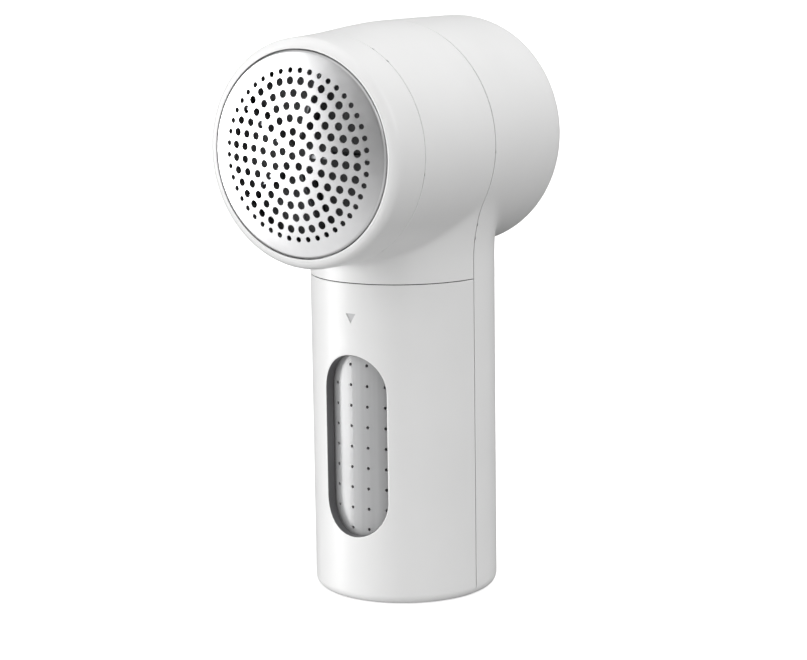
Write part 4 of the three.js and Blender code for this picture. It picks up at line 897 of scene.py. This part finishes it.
face_off(liner, (liner_high.x, 0, 0), (1, 0, 0))
face_off(liner, (liner_low.x, 0, 0), (-1, 0, 0))
face_off(liner, (0, liner_high.y, 0), (0, 1, 0))
modify(liner, "BEVEL", width=0.5 * MM, segments=3, limit_method="ANGLE", angle_limit=1.2)
pick(liner, lambda face: face.normal.z > 0.3, "faces")
bpy.ops.mesh.delete(type="FACE")
done()
modify(liner, "SOLIDIFY", thickness=LINER_WALL, offset=-1, use_even_offset=True)

# %% Vents
VENT_RADIUS = 0.43 * MM
VENT_PITCH_Z = 5.375 * MM
VENT_PITCH_ANGLE = math.radians(13.3)
VENT_MIDDLE_Z = 40.5 * MM
VENT_TURN = math.radians(0.9)  # the rows sit a little off the middle
VENT_ROWS = 9
VENT_COLUMNS = 6
VENT_TOOL_LENGTH = 4 * MM
clear()
vents = []
for column in range(VENT_COLUMNS):
    a = VENT_TURN + VENT_PITCH_ANGLE * (column - (VENT_COLUMNS - 1) / 2)
    for row in range(VENT_ROWS):
        z = VENT_MIDDLE_Z + VENT_PITCH_Z * (row - (VENT_ROWS - 1) / 2)
        out = Vector((math.sin(a), -math.cos(a), 0))
        bpy.ops.mesh.primitive_cylinder_add(
            vertices=14,
            radius=VENT_RADIUS,
            depth=VENT_TOOL_LENGTH,
            location=out * LINER_RADIUS + Vector((0, 0, z)),
            rotation=(math.pi / 2, 0, a),
        )
        vents.append(bpy.context.object)
join_to(vents[0], vents[1:])
cut(liner, vents[0])
smooth(liner)
modify(liner, "WEIGHTED_NORMAL", weight=100, keep_sharp=True)
count(liner)

# %% [markdown]
# ## Finishes
#
# Every finish is worked out from the point's place on the piece, so it stays put when a body
# moves. Each one starts from a Principled shader. Noise and waves then vary its colour and
# its roughness by a little, and a bump gives it the grain that the real surface shows:
# spark-etched texture on mouldings, grinding lines on blades, mottling on plated steel.

# %% Shared steps of a finish
def finish(name, colour, roughness, metallic=0.0, **sockets):
    """A new material; further shader sockets are given with _ for each space."""
    material = bpy.data.materials.new(name)
    material.use_nodes = True
    shader = material.node_tree.nodes["Principled BSDF"]
    shader.inputs["Base Color"].default_value = (*colour, 1)
    shader.inputs["Roughness"].default_value = roughness
    shader.inputs["Metallic"].default_value = metallic
    for socket, value in sockets.items():
        shader.inputs[socket.replace("_", " ")].default_value = value
    return material


def pattern(material, kind, scale, stretch=(1, 1, 1), centre=(0, 0, 0), **settings):
    """A texture on the piece's own coordinates; returns the socket that holds its value."""
    tree = material.node_tree
    place = tree.nodes.new("ShaderNodeTexCoord")
    mapping = tree.nodes.new("ShaderNodeMapping")
    mapping.inputs["Location"].default_value = [-c * s for c, s in zip(centre, stretch)]
    mapping.inputs["Scale"].default_value = stretch
    texture = tree.nodes.new(f"ShaderNodeTex{kind}")
    texture.inputs["Scale"].default_value = scale
    for key, value in settings.items():
        if key in texture.inputs:
            texture.inputs[key].default_value = value
        else:
            setattr(texture, key, value)
    tree.links.new(place.outputs["Object"], mapping.inputs["Vector"])
    tree.links.new(mapping.outputs["Vector"], texture.inputs["Vector"])
    return texture.outputs["Distance" if kind == "Voronoi" else "Fac"]


def shader_of(material):
    return material.node_tree.nodes["Principled BSDF"]


def vary_colour(material, source, low_colour, high_colour, low=0.3, high=0.7):
    tree = material.node_tree
    ramp = tree.nodes.new("ShaderNodeValToRGB")
    ramp.color_ramp.elements[0].position = low
    ramp.color_ramp.elements[1].position = high
    ramp.color_ramp.elements[0].color = (*low_colour, 1)
    ramp.color_ramp.elements[1].color = (*high_colour, 1)
    tree.links.new(source, ramp.inputs["Fac"])
    tree.links.new(ramp.outputs["Color"], shader_of(material).inputs["Base Color"])


def vary_roughness(material, source, smoothest, roughest):
    tree = material.node_tree
    spread = tree.nodes.new("ShaderNodeMapRange")
    spread.inputs["From Min"].default_value = 0.15
    spread.inputs["From Max"].default_value = 0.85
    spread.inputs["To Min"].default_value = smoothest
    spread.inputs["To Max"].default_value = roughest
    tree.links.new(source, spread.inputs["Value"])
    tree.links.new(spread.outputs["Result"], shader_of(material).inputs["Roughness"])


def relief(material, source, depth, strength=1.0):
    """Bump of a depth in metres; a second call lies on top of the first."""
    tree = material.node_tree
    bump = tree.nodes.new("ShaderNodeBump")
    bump.inputs["Strength"].default_value = strength
    bump.inputs["Distance"].default_value = depth
    normal = shader_of(material).inputs["Normal"]
    if normal.links:
        tree.links.new(normal.links[0].from_socket, bump.inputs["Normal"])
    tree.links.new(source, bump.inputs["Height"])
    tree.links.new(bump.outputs["Normal"], normal)


# %% Moulded plastics
def moulded(name, dark, light, smoothest, roughest, grain, depth):
    """A moulding: cloudy by a hair in colour and gloss, with the mould's fine etched grain."""
    material = finish(name, light, (smoothest + roughest) / 2)
    clouds = pattern(material, "Noise", 45, Detail=3)
    vary_colour(material, clouds, dark, light)
    vary_roughness(material, pattern(material, "Noise", 160, Detail=4), smoothest, roughest)
    relief(material, pattern(material, "Noise", 1 / grain, Detail=3, Roughness=0.6), depth)
    return material


def shell_white():
    return moulded(
        "shell_white", (0.79, 0.79, 0.787), (0.815, 0.815, 0.812), 0.29, 0.36, 0.3 * MM, 4e-6
    )


def button_white():
    white = moulded(
        "button_white", (0.79, 0.79, 0.785), (0.81, 0.81, 0.806), 0.24, 0.3, 0.5 * MM, 2e-6
    )
    shader_of(white).inputs["Coat Weight"].default_value = 0.25
    return white


def inner_plastic():
    return moulded(
        "inner_plastic", (0.5, 0.5, 0.49), (0.58, 0.58, 0.565), 0.42, 0.58, 0.35 * MM, 1.4e-5
    )


def dark_plastic():
    return moulded(
        "dark_plastic", (0.055, 0.056, 0.058), (0.085, 0.086, 0.089), 0.38, 0.56, 0.3 * MM, 1.4e-5
    )


def liner_smoke():
    """Smoky moulding with a polished face: draw lines run up it, and grease clouds its gloss."""
    smoke = finish("liner_smoke", (0.39, 0.39, 0.395), 0.3, Coat_Weight=0.6, Coat_Roughness=0.2)
    lines = pattern(smoke, "Noise", 500, stretch=(1, 1, 0.02), Detail=2)
    vary_colour(smoke, lines, (0.36, 0.362, 0.366), (0.42, 0.422, 0.426))
    vary_roughness(smoke, pattern(smoke, "Noise", 120, Detail=3), 0.26, 0.36)
    relief(smoke, lines, 3e-6)
    return smoke


def painted_shade_mark():
    """Painted shade on the mark's floor: a grey colour for the shallow recess in shade; the dull
    grain is the mould's own.
    """
    return moulded(
        "painted_shade_mark", (0.5, 0.5, 0.505), (0.56, 0.56, 0.565), 0.5, 0.6, 0.25 * MM, 6e-6
    )


def painted_shade_window_wall():
    """Painted shade on the window's wall: a dark colour for the slot's side wall, which lies in
    shade; the satin gloss and grain are real.
    """
    return moulded(
        "painted_shade_window_wall", (0.09, 0.09, 0.093), (0.13, 0.13, 0.134), 0.34, 0.44, 0.3 * MM, 4e-6
    )


# %% Steels
def net_steel():
    """Stainless foil, satin from tumbling: fine pits all over and cloudy gloss."""
    steel = finish("net_steel", (0.74, 0.74, 0.745), 0.27, 1.0)
    clouds = pattern(steel, "Noise", 180, Detail=4)
    vary_colour(steel, clouds, (0.72, 0.72, 0.725), (0.77, 0.77, 0.775))
    vary_roughness(steel, pattern(steel, "Noise", 420, Detail=3), 0.29, 0.37)
    relief(steel, pattern(steel, "Noise", 6000, Detail=2), 8e-7)
    return steel


def blade_steel():
    """Ground strip: lines along the grinding way and a bluish tone from hardening."""
    steel = finish("blade_steel", (0.6, 0.61, 0.63), 0.3, 1.0)
    lines = pattern(steel, "Noise", 2600, stretch=(1, 0.05, 0.05), Detail=3)
    vary_colour(steel, lines, (0.5, 0.51, 0.535), (0.7, 0.705, 0.72))
    vary_roughness(steel, pattern(steel, "Noise", 300, Detail=2), 0.24, 0.4)
    relief(steel, lines, 5e-6)
    return steel


def bright_steel():
    """Drawn and polished stock, with faint turning lines."""
    steel = finish("bright_steel", (0.7, 0.7, 0.71), 0.18, 1.0)
    lines = pattern(steel, "Wave", 900, stretch=(0.1, 1, 0.1), Distortion=2.0, Detail=2.0)
    vary_colour(steel, lines, (0.64, 0.64, 0.655), (0.76, 0.76, 0.77))
    vary_roughness(steel, pattern(steel, "Noise", 240, Detail=3), 0.13, 0.26)
    relief(steel, lines, 2e-6)
    return steel


def zinc_plate():
    """Plated steel: the crystals of the coating show as angular patches."""
    zinc = finish("zinc_plate", (0.5, 0.51, 0.525), 0.36, 1.0)
    crystals = pattern(zinc, "Voronoi", 900)
    vary_colour(zinc, crystals, (0.42, 0.43, 0.45), (0.6, 0.605, 0.615), 0.1, 0.8)
    vary_roughness(zinc, pattern(zinc, "Noise", 350, Detail=4), 0.28, 0.46)
    relief(zinc, crystals, 4e-6)
    return zinc


# %% Soft and small materials
def seal_rubber():
    rubber = finish("seal_rubber", (0.022, 0.022, 0.023), 0.7)
    vary_colour(rubber, pattern(rubber, "Noise", 300, Detail=4), (0.016,) * 3, (0.035,) * 3)
    relief(rubber, pattern(rubber, "Noise", 3500, Detail=3), 1.2e-5)
    return rubber


def felt():
    """Pressed wool: short fibres in every direction and a soft sheen."""
    wool = finish("felt", (0.16, 0.16, 0.165), 0.95, Sheen_Weight=0.4, Sheen_Roughness=0.5)
    fibres = pattern(wool, "Noise", 2200, stretch=(1, 0.25, 1), Detail=6, Distortion=3.0)
    vary_colour(wool, fibres, (0.1, 0.1, 0.105), (0.24, 0.24, 0.245))
    relief(wool, fibres, 8e-5)
    return wool


def cell_wrap():
    """Shrink wrap over the cell: glossy film, drawn tight in faint rings."""
    film = finish("cell_wrap", (0.03, 0.12, 0.3), 0.25, Coat_Weight=0.4, Coat_Roughness=0.1)
    rings = pattern(film, "Noise", 260, stretch=(0.15, 0.15, 1), Detail=3)
    vary_colour(film, rings, (0.026, 0.105, 0.27), (0.036, 0.135, 0.33))
    vary_roughness(film, pattern(film, "Noise", 200, Detail=2), 0.2, 0.34)
    relief(film, rings, 1.5e-5)
    return film


def board_green():
    """Solder mask over copper: tracks show as slightly raised, lighter bands."""
    mask = finish("board_green", (0.01, 0.11, 0.045), 0.32, Coat_Weight=0.3)
    tracks = pattern(mask, "Wave", 130, stretch=(1, 1, 0.35), Distortion=1.2, Detail=0.0)
    vary_colour(mask, tracks, (0.008, 0.09, 0.036), (0.02, 0.17, 0.07), 0.55, 0.62)
    vary_roughness(mask, pattern(mask, "Noise", 400, Detail=3), 0.26, 0.4)
    relief(mask, tracks, 3e-5, 0.6)
    return mask


def clear_lens():
    """Milky acrylic light pipe."""
    lens = finish(
        "clear_lens", (0.86, 0.88, 0.9), 0.12, Transmission_Weight=0.75, IOR=1.49
    )
    vary_roughness(lens, pattern(lens, "Noise", 600, Detail=3), 0.08, 0.18)
    return lens


def lead_skin(name, dark, light):
    """Extruded insulation: smooth across, with slow waves along the wire."""
    skin = finish(name, light, 0.4, Coat_Weight=0.15)
    waves = pattern(skin, "Noise", 300, stretch=(1, 0.3, 1), Detail=2)
    vary_colour(skin, waves, dark, light)
    vary_roughness(skin, pattern(skin, "Noise", 700, Detail=2), 0.34, 0.48)
    relief(skin, waves, 1e-5)
    return skin


def lead_red():
    return lead_skin("lead_red", (0.4, 0.012, 0.01), (0.52, 0.02, 0.015))


def lead_black():
    return lead_skin("lead_black", (0.012, 0.012, 0.013), (0.026, 0.026, 0.028))


# %% Give every node its finish
finishes = {}
for make in (
    shell_white, button_white, inner_plastic, dark_plastic, liner_smoke, net_steel,
    blade_steel, bright_steel, zinc_plate, seal_rubber, felt, cell_wrap, board_green,
    clear_lens, lead_red, lead_black, painted_shade_window_wall, painted_shade_mark,
):
    finishes[make.__name__] = make()
print("finishes:", ", ".join(finishes))

# %% [markdown]
# ## Inner pieces
#
# What lies inside shows through the holes and the window, and all of it shows when the cap
# or the bin is off. The drawing's solids have the right shapes but knife edges. A real
# moulding or pressing has a small radius on every edge, so a copy of each solid is merged,
# its flat faces are joined, and its edges are rounded by the radius that its process leaves.
# The battery cell and the float spring have forms of their own, so they are made further on.

# %% Copy, merge and round
def merged_copy(node, name=None):
    """A solid of the frame as one clean mesh: doubles merged and flats made one face."""
    piece = bpy.data.objects.new(name or f"{node}_piece", nodes[node].data.copy())
    bpy.context.scene.collection.objects.link(piece)
    outwards(piece)
    work_on(piece)
    edit_all()
    bpy.ops.mesh.dissolve_limited(angle_limit=math.radians(1.5))
    done()
    return piece


def rounded_copy(node, radius, segments=3, corner=38):
    piece = merged_copy(node)
    piece.data.materials.clear()
    modify(
        piece,
        "BEVEL",
        width=radius,
        segments=segments,
        limit_method="ANGLE",
        angle_limit=math.radians(corner),
    )
    smooth(piece)
    modify(piece, "WEIGHTED_NORMAL", weight=60, keep_sharp=True)
    return piece


# %% Edge radii by process, in millimetres
EDGE_RADII = {
    "partition": 0.35, "cutter_chamber": 0.3, "lint_chute": 0.3, "blade_carrier": 0.3,
    "drive_hub": 0.25, "net_retainer": 0.2, "cap_seal": 0.3, "shaft_seal": 0.3,
    "motor_can": 0.5, "motor_end_cap": 0.4, "motor_cushion": 0.6, "motor_shaft": 0.12,
    "bin_seal": 0.4, "bin_catch": 0.12, "battery_holder": 0.35,
    "battery_contact_low": 0.08, "battery_contact_high": 0.08, "control_board": 0.08,
    "power_switch": 0.15, "switch_plunger": 0.25, "power_button": 0.5,
    "indicator_lens": 0.2, "status_led": 0.1, "charge_board": 0.08, "usb_socket": 0.2,
    "motor_lead_red": 0.2, "motor_lead_black": 0.2,
}
for i in (1, 2):
    EDGE_RADII[f"motor_screw_{i}"] = 0.15
    EDGE_RADII[f"head_screw_{i}"] = 0.15
for i in range(1, 5):
    EDGE_RADII[f"housing_screw_{i}"] = 0.15
for i in range(1, 6):
    EDGE_RADII[f"cutter_blade_{i}"] = 0.06
inner_pieces = {node: rounded_copy(node, r * MM) for node, r in EDGE_RADII.items()}
for piece in inner_pieces.values():
    count(piece)

# %% [markdown]
# ## Battery cell
#
# A round cell is a steel can in a shrink sleeve. Its crimped groove near the top, the lip of
# the sleeve and the raised pole are what tell it from a plain cylinder, and all of them are
# rings about one axis, so the cell is turned.

# %% Cell with crimp, sleeve lip and pole
cell_low, cell_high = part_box("battery_cell")
cell_radius = (cell_high.x - cell_low.x) / 2
cell_middle = ((cell_low.x + cell_high.x) / 2, (cell_low.y + cell_high.y) / 2)
POLE_RADIUS = 3.2 * MM
POLE_HEIGHT = 1.1 * MM
CRIMP_Z = cell_high.z - 4.2 * MM
face_z = cell_high.z - POLE_HEIGHT
rings = [(cell_radius - 1.6 * MM, cell_low.z + 0.25 * MM)]
rings += rounding(cell_radius - 0.9 * MM, cell_low.z + 0.9 * MM, 0.9 * MM, -90, 0, 6)
rings += [(cell_radius, CRIMP_Z - 1.1 * MM)]
rings += rounding(cell_radius + 0.15 * MM, CRIMP_Z, 0.8 * MM, -120, -240, 6)
rings += [(cell_radius, CRIMP_Z + 1.1 * MM)]
rings += rounding(cell_radius - 0.7 * MM, face_z - 0.5 * MM, 0.7 * MM, 0, 90, 5)
rings += [(cell_radius - 2.2 * MM, face_z + 0.2 * MM), (cell_radius - 2.3 * MM, face_z - 0.5 * MM)]
rings += [(POLE_RADIUS, face_z - 0.5 * MM)]
rings += rounding(POLE_RADIUS - 0.4 * MM, cell_high.z - 0.4 * MM, 0.4 * MM, 0, 90, 4)
cell = turned("battery_cell_turned", rings, axis="Z", sides=96, centre=cell_middle)
smooth(cell, 40)
count(cell)
inner_pieces["battery_cell"] = cell

# %% [markdown]
# ## Parts on the boards
#
# A bare board would be a stand-in. Each board gets the parts that such a circuit has: one
# package with its two rows of legs, and small resistors and capacitors round it. They are
# bevelled blocks, each made on its own, and they are joined to their board.

# %% Blocks, joined to a board
def block(name, centre, size, bevel):
    clear()
    bpy.ops.mesh.primitive_cube_add(size=1, location=centre, scale=size)
    piece = added(name)
    modify(piece, "BEVEL", width=bevel, segments=2)
    smooth(piece)
    return piece


def place_parts(chip_spot, chip_size, legs_a_side, smalls, along):
    """Parts on one face of a board: a package with legs left and right, and small blocks.
    A small block's place is in mm from the package: across, along X, and along the board."""
    across = Vector((1, 0, 0))
    package = block("package", chip_spot, chip_size, 0.1 * MM)
    package.data.materials.append(finishes["dark_plastic"])
    metal = []
    reach = chip_size[0] / 2 + 0.25 * MM
    leg_size = (across * 0.5 + along * 0.35 + Vector((0.2, 0.2, 0.2))) * MM
    for i in range(legs_a_side):
        shift = (i - (legs_a_side - 1) / 2) * 0.9 * MM
        for side in (-1, 1):
            spot = chip_spot + across * side * reach + along * shift
            metal.append(block("leg", spot, leg_size, 0.04 * MM))
    small_size = (across + along * 0.3 + Vector((0.45, 0.45, 0.45))) * MM
    for u, v in smalls:
        spot = chip_spot + across * u * MM + along * v * MM
        metal.append(block("small_part", spot, small_size, 0.06 * MM))
    for piece in metal:
        piece.data.materials.append(finishes["zinc_plate"])
    return [package] + metal


def fit_out(node, *parts):
    """Give a board its green mask and join its parts to it."""
    board = inner_pieces[node]
    board.data.materials.clear()
    board.data.materials.append(finishes["board_green"])
    join_to(board, place_parts(*parts))
    count(board)


# %% Control board and charge board
_, board_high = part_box("control_board")
fit_out(
    "control_board",
    Vector((-5.6 * MM, board_high.y + 0.4 * MM, board_high.z - 16.2 * MM)),
    (4 * MM, 0.8 * MM, 4.4 * MM),
    4,
    [(-1.6, 5.2), (0.4, 5.2), (-1.6, 7.0), (0.4, 7.0), (-1.0, -3.6), (0.8, -3.6)],
    Vector((0, 0, 1)),
)
charge_low, charge_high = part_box("charge_board")
fit_out(
    "charge_board",
    Vector((-1.5 * MM, charge_low.y + 3.6 * MM, charge_high.z + 0.4 * MM)),
    (3.4 * MM, 3.6 * MM, 0.8 * MM),
    3,
    [(4.2, -1.5), (4.2, 0), (4.2, 1.5), (6.2, -1), (-4.2, -1), (-4.2, 0.8)],
    Vector((0, 1, 0)),
)

# %% [markdown]
# ## Float spring
#
# The spring pushes the cutter against the net and gives way by half a millimetre. A coil is
# one small circle that turns about the axis and moves along it, which is what the Screw
# modifier does.

# %% Coil
SPRING_WIRE = 0.45 * MM
SPRING_TURNS = 4
spring_low, spring_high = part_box("float_spring")
spring_radius = spring_high.x - SPRING_WIRE
coil_start = spring_low.y + SPRING_WIRE
coil_length = spring_high.y - spring_low.y - 2 * SPRING_WIRE
clear()
bpy.ops.mesh.primitive_circle_add(
    vertices=14, radius=SPRING_WIRE, location=(spring_radius, 0, 0)
)
coil = added("float_spring_coil")
modify(
    coil,
    "SCREW",
    axis="Y",
    screw_offset=coil_length / SPRING_TURNS,
    iterations=SPRING_TURNS,
    steps=56,
    render_steps=56,
    use_merge_vertices=True,
)
work_on(coil)
coil.location = (0, coil_start, HEAD_Z)
bpy.ops.object.transform_apply(location=True)
pick(coil, lambda v: v.is_boundary)
bpy.ops.mesh.fill_holes(sides=20)
done()
outwards(coil)
smooth(coil, 60)
count(coil)
inner_pieces["float_spring"] = coil

# %% [markdown]
# ## Put together
#
# Every piece takes its finish, rides on its body and stands for its node. The record says
# which body and which finish each node has, so one loop does it for all of them.

# %% Ride, replace, finish
body_of = {}
for body, members in frame["record"]["behaviour"]["bodies"].items():
    for node in members:
        body_of[node] = body
slot_of = {part["node"]: part["material_slot"] for part in frame["record"]["subparts"]}


def put_together(piece, node):
    if not piece.data.materials:
        piece.data.materials.append(finishes[slot_of[node]])
    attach(piece, body_of[node])
    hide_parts(node)


outer_pieces = {
    "front_housing": front,
    "rear_housing": rear,
    "bin_shell": bin_shell,
    "bin_liner": liner,
    "net_cap_ring": cap_ring,
    "shaving_net": net,
}
for node, piece in {**outer_pieces, **inner_pieces}.items():
    put_together(piece, node)

# %% The window's wall is painted dark: painted shade for the slot's side wall, which the key lamp leaves in shade
bin_shell.data.materials.append(finishes["painted_shade_window_wall"])
wall_faces = 0
for face in bin_shell.data.polygons:
    x, y, z = face.center
    deep = HANDLE_RADIUS - math.hypot(x, y)
    in_slot = WINDOW_LOW_Z - MM < z < WINDOW_HIGH_Z + MM and abs(x) < HANDLE_RADIUS / 2
    along = (face.normal.x * x + face.normal.y * y) / math.hypot(x, y)
    if in_slot and y < 0 and deep > 0.12 * MM and abs(along) < 0.8:
        face.material_index = 1
        wall_faces += 1
print("faces of the window's wall:", wall_faces)

# %% The mark's floor is painted grey: painted shade of the shallow recess
bin_shell.data.materials.append(finishes["painted_shade_mark"])
for face in bin_shell.data.polygons:
    x, y, z = face.center
    on_mark = abs(x) < MARK_HALF_WIDTH and abs(z - MARK_Z) < 2 * MARK_HALF_HEIGHT
    if on_mark and abs(y + HANDLE_RADIUS - MARK_DEPTH) < 0.02 * MM:
        face.material_index = 2

# %% The solids of the frame take their finishes too, and the coil gets a mesh of its own
for node, solid in nodes.items():
    solid.data.materials.clear()
    solid.data.materials.append(finishes[slot_of[node]])
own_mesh(coil)
bpy.data.objects.remove(housing)
bpy.data.objects.remove(handle)
print("finished pieces:", len(outer_pieces) + len(inner_pieces))
